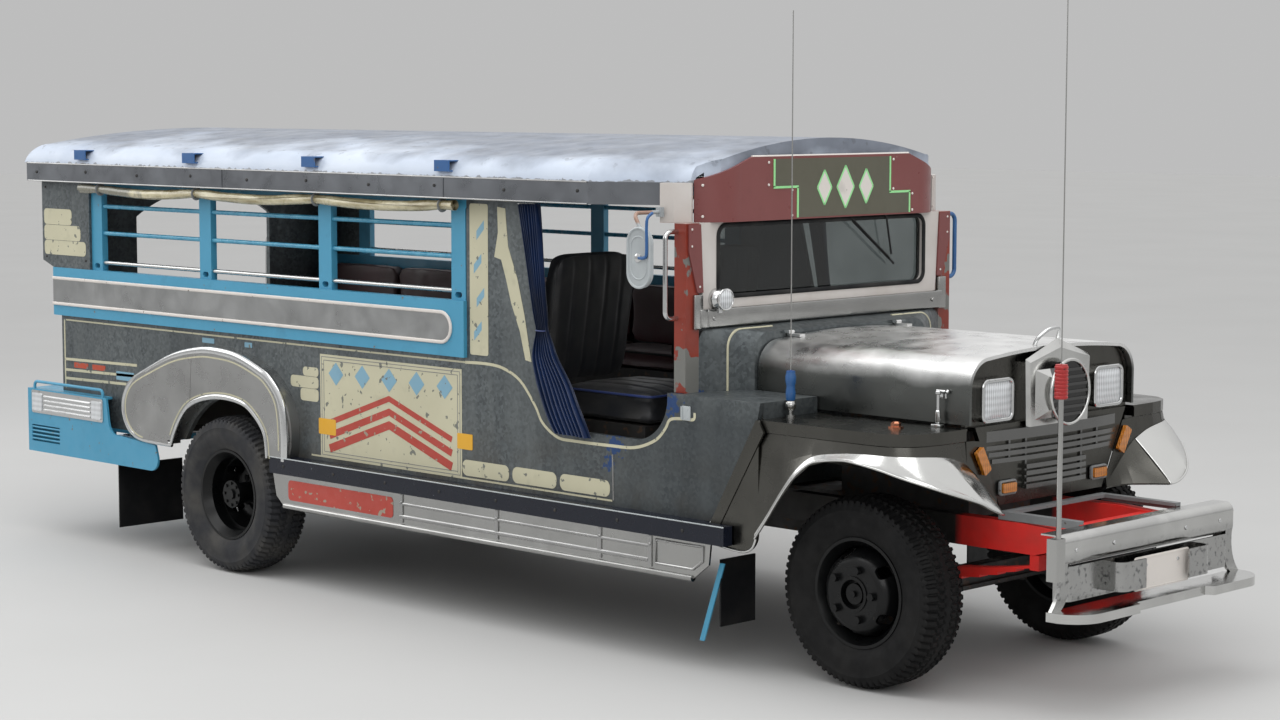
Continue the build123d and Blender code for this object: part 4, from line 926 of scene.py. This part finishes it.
def build_side_panel_art():
    """A cream field with a plain pattern of chevrons and diamonds inside two thin frames."""
    place, thick = on_side(SIDE_Y), 0.0018
    u0, u1, v0, v1 = -0.858, 0.158, 0.640, 1.134
    pair("side_field", "cream", slab(rectangle(u0, u1, v0, v1), 0.0010, place))
    frames = [rectangle(u0 + inset, u1 - inset, v0 + inset, v1 - inset) for inset in (0.012, 0.028)]
    pair("side_field_frame", "grey", *(
        stripe(line, 0.003, thick, place) for corners in frames for line in edges_of(corners)))
    middle, reach, rise = (u0 + u1) / 2, 0.44, 0.15
    warm = []
    for i in range(3):
        foot = v0 + 0.045 + 0.062 * i
        chevron = [(middle - reach, foot), (middle, foot + rise), (middle + reach, foot)]
        warm.append(stripe(chevron, 0.040 - 0.006 * i, thick, place))
    pair("side_chevrons", "faded_red", *warm)
    across = [u0 + 0.12 + 0.195 * i for i in range(5)]
    pair("side_diamonds", "pale_blue", *(
        slab([(u, 0.99), (u + 0.055, 1.045), (u, 1.10), (u - 0.055, 1.045)], thick, place) for u in across))


def build_corner_patches():
    place = on_side(CORNER_Y)
    pair("corner_patches", "cream", *blocks(
        place, PAINT, (-3.186, -2.925, 1.672, 1.756, 0.022), (-3.186, -2.845, 1.590, 1.670, 0.022),
        (-3.186, -2.798, 1.512, 1.588, 0.022)))
    spots = ((-3.17, 1.50), (-2.80, 1.49), (-3.17, 1.87), (-2.80, 1.87))
    pair("corner_bolts", "black_steel", *(stud(place(u, v, 0), RIGHT, 0.007) for u, v in spots))


def build_eave_trim():
    """Screws along the eaves and across the rear, thin lips along the eaves and two joints."""
    screws = Shape(*(
        stud((-3.15 + 0.46 * i, -EAVE_Y, 1.952 + 0.008 * (i % 2)), RIGHT, 0.008, 0.005) for i in range(10)))
    screws.both_sides()
    for i in range(5):
        screws.add(*stud((-3.245, -0.8 + 0.4 * i, 1.955), (-1, 0, 0), 0.008, 0.005))
    screws.piece("eave_screws", "black_steel")
    pair("eave_lips", "dull_steel", *(
        tube([(-3.235, -EAVE_Y, z), (1.05, -EAVE_Y, z)], 0.004, 8) for z in (1.906, 1.999)))
    pair("eave_joints", "eave_steel", *(
        slab(rectangle(u, u + 0.012, 1.907, 1.998), 0.0022, on_side(EAVE_Y)) for u in (-1.52, 0.12)))


ROLL_TIES = (-2.60, -1.763, -0.812, 0.09)


def build_tarps():
    """Clear plastic side sheets, rolled up under the eave and tied at the posts."""
    windings, inner, outer, strap_r = 4.5, 0.004, 0.026, 0.0262
    rear, front, roll_y, roll_z = -2.775, 0.175, 0.970, 1.872
    stations, steps = 150, 76
    rolls = []
    for side, hand in SIDES:
        verts = []
        for i in range(stations + 1):
            x = rear + (front - rear) * i / stations
            loose = min(1.0, min(abs(x - tie) for tie in ROLL_TIES) / 0.10)
            sag = 0.0
            for a, b in zip(ROLL_TIES, ROLL_TIES[1:]):
                if a <= x < b:
                    share = (x - a) / (b - a)
                    sag = 0.016 * math.sin(math.pi * share) ** 1.2
            for k in range(steps):
                t = k / (steps - 1)
                angle = 2 * math.pi * windings * t + 0.6 * math.sin(x * 2.1)
                crease = noise.noise(Vector((x * 6, math.cos(angle) * 1.6 + side, math.sin(angle) * 1.6)))
                r = (inner + (outer - inner) * t) * (0.84 + 0.16 * loose)
                r *= 1 + 0.13 * crease * loose * t
                z = roll_z - sag + r * math.sin(angle) * 1.04
                verts.append((x, side * roll_y + r * math.cos(angle), z))
        grid = quads(stations + 1, steps, wrapped=False)
        roll = single(f"rolled_sheet_{hand}", "film", (verts, grid), sharp=60, closed=False)
        straps = []
        for tie in ROLL_TIES:
            ring = [
                (tie, side * roll_y + strap_r * math.cos(a), roll_z + strap_r * math.sin(a))
                for a in turns(20)
            ]
            tail = [(tie, side * 0.962, 1.898), (tie + 0.002, side * 0.955, 1.906), (tie, side * 0.95, 1.915)]
            straps += [tube(ring, 0.007, 8, True, 0.35, FORWARD), tube(tail, 0.005, 8)]
        ties = single(f"roll_ties_{hand}", "grey", *straps)
        rolls.append(roll)
    for roll in reversed(rolls):
        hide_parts("rolled_tarps")


CURTAIN = (
    # height, rear edge, front edge
    (1.888, 0.565, 0.688), (1.80, 0.583, 0.697), (1.65, 0.616, 0.709), (1.50, 0.648, 0.724),
    (1.40, 0.670, 0.738), (1.345, 0.680, 0.744), (1.28, 0.668, 0.774), (1.22, 0.661, 0.806),
    (1.12, 0.684, 0.884), (1.02, 0.724, 0.940), (0.95, 0.762, 0.980), (0.905, 0.796, 1.002),
)


def build_curtains():
    """Satin curtains at the rear edge of the front doorways, gathered by a tie."""
    pleats, across, rows = 8, 144, 90
    curtain_y, tie_z, rod_z = 0.942, 1.345, 1.893
    line = smooth(CURTAIN, 8)
    cloths = []
    for side, hand in SIDES:
        verts = []
        for i in range(rows + 1):
            z, rear, front = line[round(i / rows * (len(line) - 1))]
            pinch = math.exp(-((z - tie_z) / 0.05) ** 2)
            for k in range(across + 1):
                t = k / across
                drift = noise.noise(Vector((t * 3, z * 2.2, side * 5)))
                wave = math.sin(2 * math.pi * (pleats * t + 0.35 * drift))
                depth = 0.0180 * (1 - 0.30 * pinch) * (0.82 + 0.18 * math.cos(5 * z + 9 * t))
                x = rear + (front - rear) * t + 0.004 * drift
                verts.append((x, side * (curtain_y + depth * wave), z - 0.012 * t * math.sin(3 * z)))
        grid = quads(rows + 1, across + 1, wrapped=False)
        cloth = single(f"curtain_{hand}", "satin", (verts, grid), sharp=180, closed=False)
        loop = [
            (0.680 + 0.055 * (0.5 - 0.5 * math.cos(a)), side * (curtain_y + 0.019 * math.sin(a)), tie_z)
            for a in turns(24)
        ]
        bar = [(x, side * curtain_y, rod_z) for x in (0.56, 0.67)]
        band = single(f"curtain_tie_{hand}", "piping", tube(loop, 0.006, 8, True, 0.5, UP))
        rod = single(f"curtain_rod_{hand}", "chrome", tube(bar, 0.005))
        cloths.append(cloth)
    for cloth in reversed(cloths):
        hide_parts("curtains")


# Rear

FENDER_LINE = (
    # the middle of the rounded moulding, from the front foot over the top to the rear foot
    (-1.058, 0.602), (-1.057, 0.740), (-1.080, 0.885), (-1.160, 0.980), (-1.250, 1.026), (-1.420, 1.079),
    (-1.590, 1.096), (-1.735, 1.092), (-1.948, 1.050), (-2.160, 0.968), (-2.320, 0.893), (-2.383, 0.820),
    (-2.397, 0.748), (-2.375, 0.682), (-2.318, 0.628), (-2.215, 0.603), (-1.976, 0.600),
)
FENDER_OPENING = (
    (-1.978, 0.594), (-1.948, 0.657), (-1.897, 0.734), (-1.834, 0.797), (-1.760, 0.834), (-1.664, 0.860),
    (-1.557, 0.872), (-1.452, 0.869), (-1.360, 0.852), (-1.292, 0.816), (-1.225, 0.757), (-1.193, 0.697),
    (-1.183, 0.604),
)


def build_rear_fenders():
    """The wheel box's polished edge moulding and rolled opening, with thin lines and a seam."""
    place = on_side(FENDER_Y)
    line, lip = smooth(FENDER_LINE, 5), smooth(FENDER_OPENING, 5)
    edge, radii = [], []
    for i, (u, v) in enumerate(line):
        front = min(1.0, max(0.0, 1.55 - i / len(line) * 2.4))
        edge.append(place(u, v, -0.010 - 0.003 * front))
        radii.append(0.015 + 0.009 * front)
    roll = [place(u, v + 0.004, -0.003) for u, v in lip]
    roll_radii = [0.009 + 0.004 * math.sin(math.pi * i / (len(lip) - 1)) for i in range(len(lip))]
    pair(
        "rear_fender_mouldings", "chrome",
        tube(edge, radii, 14, flat=0.62, flat_way=ACROSS),
        tube(roll, roll_radii, 12, flat=0.75, flat_way=ACROSS),
    )
    pair(
        "rear_fender_lines", "cream",
        stripe(towards(line[2:-6], (-1.650, 0.760), 0.030), 0.008, 0.001, place),
        stripe(towards(lip[4:], (-1.57, 0.55), -0.024), 0.007, 0.001, place),
    )
    seam = [(-1.805, 0.835), (-1.800, 0.94), (-1.790, 1.045)]
    pair("rear_fender_seams", "dull_steel", stripe(seam, 0.006, PAINT, place))


def build_rear_bumper():
    """Ribbed lamp panels on the sides, tail lenses on the rear and the step's treads."""
    place, back = on_side(SKIRT_Y), on_rear(REAR_BUMPER_X)
    ribs = [[place(u, v, 0.006) for u in (-3.14, -2.70)] for v in (0.676, 0.700, 0.724, 0.748)]
    pair(
        "bumper_lamp_panels", "chrome",
        *blocks(place, 0.005, (-3.262, -2.590, 0.655, 0.778, 0.012)),
        *(tube(rib, 0.006, 8) for rib in ribs),
    )
    pair("bumper_clear_lenses", "lamp", *blocks(
        place, 0.010, (-3.250, -3.160, 0.668, 0.764, 0.010), (-2.690, -2.605, 0.668, 0.764, 0.010)))
    tails = (("tail_lenses", "red_lens", 0.72, 0.14), ("tail_amber_lenses", "amber", 0.91, 0.04))
    for name, look, y, half in tails:
        lenses = [(side * y - half, side * y + half, 0.650, 0.750, 0.02) for side, _ in SIDES]
        single(name, look, *blocks(back, 0.008, *lenses))
    treads = [-3.27 + 0.038 * i for i in range(6)]
    single("step_treads", "dull_steel", *(
        tube([(x, -0.40, 0.477), (x, 0.40, 0.477)], 0.004, 6) for x in treads))


def build_rear_entry():
    """Handrails beside the entry, and two grab rails along the ceiling."""
    grip = [(-3.066, 1.58), (-3.10, 1.55), (-3.12, 1.48), (-3.12, 0.95), (-3.10, 0.88), (-3.066, 0.85)]
    handrails, ceiling = [], []
    for side, _ in SIDES:
        handrails.append(tube(smooth([(x, side * 0.50, z) for x, z in grip]), 0.012, 12))
        y, rail_z, roof_z = side * 0.27, 1.985, 2.145
        ceiling.append(tube([(-2.90, y, rail_z), (0.60, y, rail_z)], 0.013, 12))
        ceiling += [tube([(x, y, rail_z), (x, y, roof_z)], 0.008, 8) for x in (-2.88, -1.75, -0.60, 0.58)]
    single("entry_handrails", "chrome", *handrails)
    single("ceiling_rails", "chrome", *ceiling)


def build_sills():
    """Edge and bolts of the running boards, and the skirts' red panels, clamps and ridges."""
    skirt, board = on_side(SKIRT_Y), on_side(BOARD_Y)
    pair("board_edges", "shell_grey", tube([(-1.16, -0.999, 0.618), (1.84, -0.999, 0.618)], 0.003, 8))
    pair("skirt_red_panels", "faded_red", *blocks(skirt, 0.002, (-1.030, -0.250, 0.418, 0.515, 0.020)))
    clamps = []
    for u in (-0.20, 0.45, 1.10, 1.40):
        clamps.append(slab(rectangle(u, u + 0.022, 0.405, 0.535), 0.005, skirt))
        clamps.append(stud((u + 0.011, -0.990, 0.50), RIGHT, 0.007, 0.005))
    pair("skirt_clamps", "dull_steel", *clamps)
    frame_line = [(1.445, 0.522), (1.445, 0.424), (1.660, 0.424), (1.712, 0.462), (1.718, 0.522)]
    pair(
        "skirt_ridges", "dull_steel",
        tube([(-0.20, -0.986, 0.492), (1.40, -0.986, 0.492)], 0.007, flat=0.7, flat_way=ACROSS),
        tube([(-0.20, -0.986, 0.432), (1.40, -0.986, 0.432)], 0.010, flat=0.6, flat_way=ACROSS),
        tube([(u, -0.987, v) for u, v in frame_line], 0.006, 8, True),
    )
    bolts = [stud(board(-1.05 + 0.38 * i, 0.580, 0), RIGHT, 0.008) for i in range(8)]
    pair("board_bolts", "black_steel", *bolts)


# Front


def build_visor():
    """The header panel's olive field, its green stepped border and three white lozenges."""
    place = on_front(VISOR_X)
    field = [
        (-0.385, 2.094), (-0.385, 1.975), (-0.234, 1.972), (-0.234, 1.842), (0.524, 1.842), (0.524, 1.936),
        (0.386, 1.936), (0.386, 2.094),
    ]
    border = (
        field[:2], [(-0.39, 1.9735), (-0.229, 1.9735)], field[2:4], field[4:6],
        [(0.381, 1.936), (0.529, 1.936)], field[6:],
    )
    single("visor_field", "olive", slab(field, 0.0015, place))
    single("visor_border", "green", *(stripe(line, 0.010, 0.0026, place) for line in border))
    marks, rims, middle = [], [], 1.966
    for u, reach in ((-0.06, 0.075), (0.08, 0.092), (0.22, 0.075)):
        half = reach * 0.62
        lozenge = [(u - half, middle), (u, middle + reach), (u + half, middle), (u, middle - reach)]
        marks.append(slab(lozenge, 0.0022, place))
        rims += [stripe(line, 0.008, 0.0030, place) for line in edges_of(lozenge)]
    single("visor_lozenges", "white", *marks)
    single("visor_lozenge_edges", "green", *rims)
    spots = (
        (-0.42, 2.080), (-0.42, 1.985), (-0.27, 1.960), (-0.27, 1.852), (0.41, 2.080), (0.41, 1.95),
        (0.545, 1.925), (0.545, 1.852),
    )
    screws = [stud(place(u, v, 0), FORWARD) for u, v in spots]
    for side, _ in SIDES:
        screws += [stud((1.497, side * 0.765, z), (0.6, side * 0.8, 0)) for z in (1.86, 1.99)]
    single("visor_screws", "white", *screws)
    single("visor_top_trim", "white", tube([(1.549, -0.52, 2.105), (1.549, 0.52, 2.105)], 0.006, 8))


def build_screen():
    """The windscreen's seal, sill, corner caps and wipers, and the pillars' screws."""
    x = SCREEN_X
    sill = [soft_box((x + 0.010, 0, 1.436), (0.026, 1.53, 0.078), 0.006)]
    covers, screws = [], []
    for side, _ in SIDES:
        sill.append(soft_box((x - 0.018, side * 0.782, 1.436), (0.075, 0.05, 0.080), 0.006))
        sill.append(stud((x + 0.023, side * 0.73, 1.436), FORWARD, 0.010, 0.006))
        covers.append(soft_box((x + 0.004, side * 0.812, 1.465), (0.022, 0.052, 0.145), 0.005))
        for y, z in ((0.850, 1.81), (0.850, 1.74), (0.802, 1.57)):
            screws.append(stud((x + 0.008, side * y, z), FORWARD, 0.005, 0.003))
    ring = [(x + 0.002, u, v) for u, v in rounded(-0.685, 0.685, 1.522, 1.822, 0.047, 10)]
    single("screen_seal", "rubber", tube(ring, 0.010, 10, True, 0.7, FORWARD))
    single("screen_sill", "stainless", *sill)
    single("pillar_caps", "stainless", *covers)
    single(
        "wipers", "plastic",
        tube([(x + 0.014, 0.40, 1.834), (x + 0.012, 0.442, 1.655)], 0.0045, 8),
        lathe([(0.012, 0), (0.012, 0.010), (0.007, 0.016)], (x + 0.004, 0.40, 1.838), FORWARD, 14),
        tube([(x + 0.012, 0.16, 1.828), (x + 0.010, 0.43, 1.640)], 0.0045, 8),
        tube([(x + 0.004, 0.18, 1.812), (x + 0.004, 0.47, 1.612)], 0.006, 8, flat=0.5, flat_way=FORWARD),
    )
    single("pillar_screws", "white", *screws)


def build_cabin():
    """A padded dash with a gauge cowl and three gauge rims."""
    single(
        "dash_pad", "seat",
        soft_box((1.395, 0, 1.315), (0.15, 1.52, 0.13), 0.035, 4),
        soft_box((1.350, 0.43, 1.385), (0.13, 0.36, 0.07), 0.025, 4),
    )
    rim = [(0.034, 0), (0.038, 0.004), (0.036, 0.010), (0.030, 0.010), (0.029, 0.004)]
    rims = [lathe(rim, (1.322, y, 1.332), (-1, 0, 0.1)) for y in (0.34, 0.43, 0.52)]
    single("gauge_rings", "chrome", *rims)


def cushion(centre, size, turn=0.0, crown=0.022, channels=0):
    """A stuffed pad: round edges, a crowned face, sides that pull in, and sewn channels across it."""
    nu, nv, nw = 22, 60, 5
    rim_share, seam_depth, seam_half = 0.22, 0.006, 0.09
    spin = Matrix.Rotation(math.radians(turn), 3, "Y")
    order, verts, faces = {}, [], []

    def vertex(i, j, k):
        if (i, j, k) not in order:
            u, v, w = 2 * i / nu - 1, 2 * j / nv - 1, 2 * k / nw - 1
            pull = 1 - 0.035 * (1 - w * w) * max(abs(u), abs(v)) ** 6
            pull *= 1 - 0.085 * (abs(u) * abs(v)) ** 5
            lift = (1 - abs(u) ** 3) * (1 - abs(v) ** 3)
            rim = max(0.0, max(abs(u), abs(v)) - (1 - rim_share)) / rim_share
            z = w * size[2] / 2 * (1 - 0.30 * rim ** 3)
            if w > 0:
                z += crown * lift * w
                if channels:
                    seam = ((v * channels / 2) % 1 - 0.5) / seam_half
                    z -= seam_depth * w * lift ** 0.3 * math.exp(-seam ** 2)
            z += 0.004 * noise.noise(Vector((u * 3 + centre[0], v * 3 + centre[1], w)))
            order[i, j, k] = len(verts)
            verts.append(spin @ Vector((u * size[0] / 2 * pull, v * size[1] / 2 * pull, z)) + Vector(centre))
        return order[i, j, k]

    def face(*corners):
        faces.append(tuple(vertex(*corner) for corner in corners))

    for i in range(nu):
        for j in range(nv):
            for k in (0, nw):
                face((i, j, k), (i + 1, j, k), (i + 1, j + 1, k), (i, j + 1, k))
    for k in range(nw):
        for i in range(nu):
            for j in (0, nv):
                face((i, j, k), (i + 1, j, k), (i + 1, j, k + 1), (i, j, k + 1))
        for j in range(nv):
            for i in (0, nu):
                face((i, j, k), (i, j + 1, k), (i, j + 1, k + 1), (i, j, k + 1))
    return verts, faces


def seat_piping(centre, size):
    """A welt round the pad's upper edge."""
    length, width, height = (s / 2 for s in size)
    outline = rounded(-length, length, -width, width, 0.025, 4)
    return tube([Vector((u, v, height * 0.80)) + Vector(centre) for u, v in outline], 0.006, 8, True)


def build_seats():
    """Channelled front seats with welts, and five bench pads and backs along each side."""
    pads, welts = [], []
    for y in (-0.43, 0.43):
        base = (0.825, y, 1.010), (0.565, 0.495, 0.135)
        pads.append(cushion(*base, channels=5))
        pads.append(cushion((0.462, y, 1.370), (0.565, 0.495, 0.085), 98.5, 0.014, 5))
        welts.append(seat_piping(*base))
    obj = single("front_seat_pads", "seat", *pads, sharp=60)
    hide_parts("front_seats")
    single("front_seat_welts", "piping", *welts)
    pads, welts = [], []
    for side, _ in SIDES:
        for i in range(5):
            x = -2.95 + 0.614 * (i + 0.5)
            base = (x, side * 0.705, 1.055), (0.606, 0.365, 0.085)
            pads.append(cushion(*base, crown=0.008))
            pads.append(cushion((x, side * 0.845, 1.2525), (0.606, 0.085, 0.285), crown=0.004))
            welts.append(seat_piping(*base))
    obj = single("bench_pads", "bench", *pads, sharp=60)
    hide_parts("side_benches")
    single("bench_welts", "rubber", *welts)


def build_front_lamps():
    """Square lenses in bright frames, the round lamp on the pillar and the marker lamps' holders."""
    place, spot_y, spot_z = on_front(LAMP_X), -0.700, 1.515
    glass, frames, holders = [], [], []
    for side, _ in SIDES:
        y = side * 0.379
        glass.append(lens_dome(place, y - 0.088, y + 0.088, 1.090, 1.234, 0.022, 0.016))
        ring = [place(u, v, 0.003) for u, v in rounded(y - 0.096, y + 0.096, 1.082, 1.242, 0.028, 8)]
        frames.append(tube(ring, 0.008, 10, True, 0.8, FORWARD))
        y = side * 0.312
        ring = [(NOSE_X + 0.010, u, v) for u, v in rounded(y - 0.050, y + 0.050, 0.783, 0.833, 0.008, 4)]
        holders.append(tube(ring, 0.006, 8, True, 1.4, FORWARD))
    dome = [(0.040, -0.003), (0.040, 0.002), (0.030, 0.009), (0.015, 0.013), (0.002, 0.014)]
    glass.append(lathe(dome, (1.5715, spot_y, spot_z), FORWARD, 28))
    ring = [(1.571, spot_y + 0.043 * math.cos(a), spot_z + 0.043 * math.sin(a)) for a in turns(32)]
    frames.append(tube(ring, 0.005, 8, True))
    single("lamp_lenses", "lamp", *glass)
    single("lamp_bezels", "chrome", *frames)
    single("marker_holders", "grey", *holders)


FLARE = (
    # x, edge y, facing in degrees, lip out and height, crease out and height, share of the skin covered
    (1.965, 0.930, 0, 0.020, 0.585, 0.008, 0.850, 0.06), (2.037, 0.930, 0, 0.028, 0.673, 0.010, 0.880, 0.07),
    (2.110, 0.930, 0, 0.032, 0.771, 0.012, 0.905, 0.12), (2.182, 0.930, 0, 0.035, 0.855, 0.014, 0.932, 0.26),
    (2.263, 0.930, 0, 0.036, 0.918, 0.016, 0.955, 0.6), (2.334, 0.930, 0, 0.036, 0.938, 0.014, 0.962, 0.9),
    (2.440, 0.930, 0, 0.038, 0.950, 0.010, 0.972, 1), (2.535, 0.930, 0, 0.042, 0.944, 0.004, 0.977, 1),
    (2.625, 0.916, 22, 0.036, 0.922, 0.004, 0.977, 1), (2.690, 0.866, 62, 0.070, 0.886, 0.005, 0.975, 1),
    (2.722, 0.800, 82, 0.118, 0.848, 0.006, 0.972, 1), (2.735, 0.720, 90, 0.177, 0.810, 0.006, 0.964, 1),
    (2.737, 0.665, 90, 0.196, 0.779, 0.006, 0.953, 1), (2.738, 0.610, 90, 0.198, 0.757, 0.006, 0.934, 1),
    (2.739, 0.578, 90, 0.187, 0.750, 0.006, 0.921, 1),
)


def build_front_flares():
    """The polished lip of each front fender, which widens into the tongue beside the grille."""
    across, rows = 8, smooth(FLARE, 5)
    n, last = across + 1, len(rows) - 1
    verts = []
    for x, y, facing, lip_out, lip_z, fold_out, fold_z, share in rows:
        turn = math.radians(facing)
        for k in range(n):
            t = k / across * min(share, 1.0)
            proud = 0.0022 + 0.004 * math.sin(math.pi * k / across) * (lip_out > 0.05)
            out = lip_out + (fold_out - lip_out) * t + proud
            z = lip_z + (fold_z - lip_z) * t + (0.0018 if k else -0.001)
            verts.append((x + out * math.sin(turn), -y - out * math.cos(turn), z))
    back = [(x, y * 0.9985, z - 0.003) for x, y, z in verts]
    grid, count = quads(len(rows), n, wrapped=False), len(verts)
    edges = [(i * n + k, (i + 1) * n + k) for i in range(last) for k in (0, across)]
    edges += [(i * n + k, i * n + k + 1) for i in (0, last) for k in range(across)]
    faces = grid + [tuple(count + i for i in reversed(face)) for face in grid]
    faces += [(a, b, b + count, a + count) for a, b in edges]
    foot = smooth([(1.755, 0.533), (1.830, 0.524), (1.905, 0.522), (1.948, 0.543), (1.967, 0.582)], 5)
    lip, hem = tube(verts[::n], 0.0045), tube([(u, -0.945, v) for u, v in foot], 0.006)
    shape = Shape((verts + back, faces), lip, hem)
    shape.both_sides().piece("front_fender_flares", "polished", sharp=60)


def build_fender_bands():
    """A plain skin on each fender's side, between the polished lip's crease and the fold above it."""
    proud, thick, rear, front = 0.0013, 0.003, 2.26, 2.73
    rows = smooth([(x, y, facing, out, z) for x, y, facing, _, _, out, z, _ in FLARE if rear < x < front], 4)
    verts = []
    for x, y, facing, crease_out, crease_z in rows:
        turn = math.radians(facing)
        crease, fold = (crease_out, crease_z - 0.002), (-0.0030, 1.0125)
        for (out, z), depth in ((crease, 0.0), (fold, 0.0), (fold, thick), (crease, thick)):
            away = out + proud - depth
            verts.append((x + away * math.sin(turn), -y - away * math.cos(turn), z))
    pair("front_fender_bands", "dark_steel", (verts, quads(len(rows), 4) + caps(len(rows), 4)))


def build_flap_stays():
    (top_u, top_v), (foot_u, foot_v), half = (1.771, 0.455), (1.658, 0.118), 0.013
    outline = [(top_u - half, top_v), (top_u + half, top_v), (foot_u + half, foot_v), (foot_u - half, foot_v)]
    pair("flap_stays", "blue", slab(outline, 0.004, on_side(0.928)))


def build_hood_fittings():
    """A grab handle on the hood's nose, side latches and the nut on the fender."""
    half = [(2.690, 0.075, 1.352), (2.705, 0.070, 1.385), (2.728, 0.04, 1.418)]
    handle = [(x, -y, z) for x, y, z in half] + [(2.738, 0.0, 1.428)] + half[::-1]
    single("hood_handle", "chrome", tube(smooth(handle), 0.008, 12), body="hood")
    keepers, posts = [], []
    for side, _ in SIDES:
        y, z = side * 0.572, 1.203
        keepers += [
            soft_box((2.610, side * 0.5645, 1.190), (0.044, 0.010, 0.034), 0.003),
            tube([(2.588, y, z), (2.632, y, z)], 0.006),
            lathe([(0.009, 0), (0.010, 0.004), (0.006, 0.010)], (2.638, y, z), FORWARD, 12),
        ]
        x, y = 2.610, side * 0.592
        posts += [
            soft_box((x, side * 0.594, 1.069), (0.046, 0.030, 0.012), 0.003),
            tube([(x, y, 1.072), (x, y, 1.205)], 0.0075, 12),
            lathe([(0.010, 0), (0.012, 0.004), (0.012, 0.046), (0.009, 0.050)], (x, y, 1.080), UP, 14),
            lathe([(0.011, 0), (0.013, 0.003), (0.013, 0.012), (0.010, 0.015)], (x, y, 1.192), UP, 14),
        ]
    single("hood_keepers", "chrome", *keepers, body="hood")
    single("latch_posts", "chrome", *posts)
    nut = [(0.030, 0), (0.030, 0.006), (0.020, 0.008), (0.020, 0.020), (0.012, 0.026)]
    single("fender_nut", "copper", lathe(nut, (2.518, -0.739, 1.064), UP, 6))


def build_small_parts():
    """Ribbed coil grips on the whips, the moulding round the cowl and a hinge plate by the door."""
    grip = [
        (0.0172, 0.0), (0.0195, 0.006), (0.0205, 0.030), (0.0178, 0.052), (0.0178, 0.060), (0.0215, 0.074),
        (0.0222, 0.096), (0.0185, 0.110), (0.0185, 0.119),
    ]
    single("fender_whip_grip", "deep_blue", lathe(grip, (1.990, -0.765, 1.1325), UP))
    grip = [(0.0232, 0.0)]
    for i in range(9):
        grip += [(r, h + 0.014 * i) for r, h in ((0.0262, 0.004), (0.0262, 0.010), (0.0236, 0.013))]
    grip.append((0.0232, 0.130))
    single("bumper_whip_grip", "red", lathe(grip, (3.222, -0.628, 1.2275), UP))
    run = [(-0.40, 1.3835)] + arc(-0.603, 1.3085, 0.075, 90, 180, 8) + [(-0.678, 1.20), (-0.678, 1.105)]
    pair("cowl_mouldings", "cream", tube([(1.560, y, z) for y, z in run], 0.006))
    pair(
        "door_hinge_plates", "shell_grey",
        soft_box((1.557, -0.9225, 1.055), (0.046, 0.006, 0.060), 0.002),
        tube([(1.533, -0.926, 1.028), (1.533, -0.926, 1.082)], 0.005),
        *(stud((1.566, -0.9255, z), RIGHT, 0.004, 0.002) for z in (1.038, 1.072)),
    )


def build_front_bumper():
    """A blank plate with a raised rim, and bolts."""
    place, thick = on_front(FRONT_PLATE_X), 0.003
    rim = [place(u, v, thick) for u, v in rounded(-0.184, 0.184, 0.444, 0.566, 0.010)]
    plate = slab(rounded(-0.190, 0.190, 0.438, 0.572, 0.012), thick, place, 0.0)
    single("blank_plate", "white", plate, tube(rim, 0.0022, 6, True))
    bolts = [stud(place(y, 0.535, thick), FORWARD, 0.008) for y in (-0.11, 0.11)]
    bolts += [stud((3.215, y, 0.635), FORWARD, 0.009, 0.005) for y in (-0.50, -0.25, 0.25, 0.50)]
    single("bumper_bolts", "chrome", *bolts)


def build_mirror():
    """Rims, stay, boss and glass of the right-hand mirror."""
    u, v, y = 1.445, 1.700, -1.091
    rims = []
    for scale, r in ((1.0, 0.006), (0.72, 0.004)):
        half_u, half_v = 0.062 * scale, 0.122 * scale
        outline = rounded(u - half_u, u + half_u, v - half_v, v + half_v, half_u * 0.98, 10)
        rims.append(tube([(a, y, b) for a, b in outline], r, 8, True))
    stay = smooth([
        (1.497, -1.064, 1.884), (1.500, -1.094, 1.866), (1.500, -1.101, 1.830), (1.500, -1.101, 1.722),
        (1.485, -1.100, 1.702), (1.452, -1.098, 1.700),
    ], 5)
    single("mirror_rims", "shell_grey", *rims)
    single("mirror_stay", "deep_blue", tube(stay, 0.0065))
    boss = [(0.020, 0), (0.018, 0.006), (0.010, 0.009)]
    single("mirror_boss", "chrome", lathe(boss, (u, -1.0915, v), RIGHT, 20))
    glass = lens_dome(lambda a, b, w: (a, -1.070 + w, b), 1.390, 1.500, 1.590, 1.810, 0.050, 0.002)
    single("mirror_glass", "mirror_glass", glass)


place_camera()
light_scene()
lay_floor()
dress_nodes()
for build in (
    build_tyres, build_belt, build_side_paint, build_side_panel_art, build_corner_patches, build_eave_trim,
    build_tarps, build_curtains, build_rear_fenders, build_rear_bumper, build_rear_entry, build_sills,
    build_visor, build_screen, build_cabin, build_seats, build_front_lamps, build_front_flares,
    build_fender_bands, build_flap_stays, build_hood_fittings, build_small_parts, build_front_bumper,
    build_mirror,
):
    build()
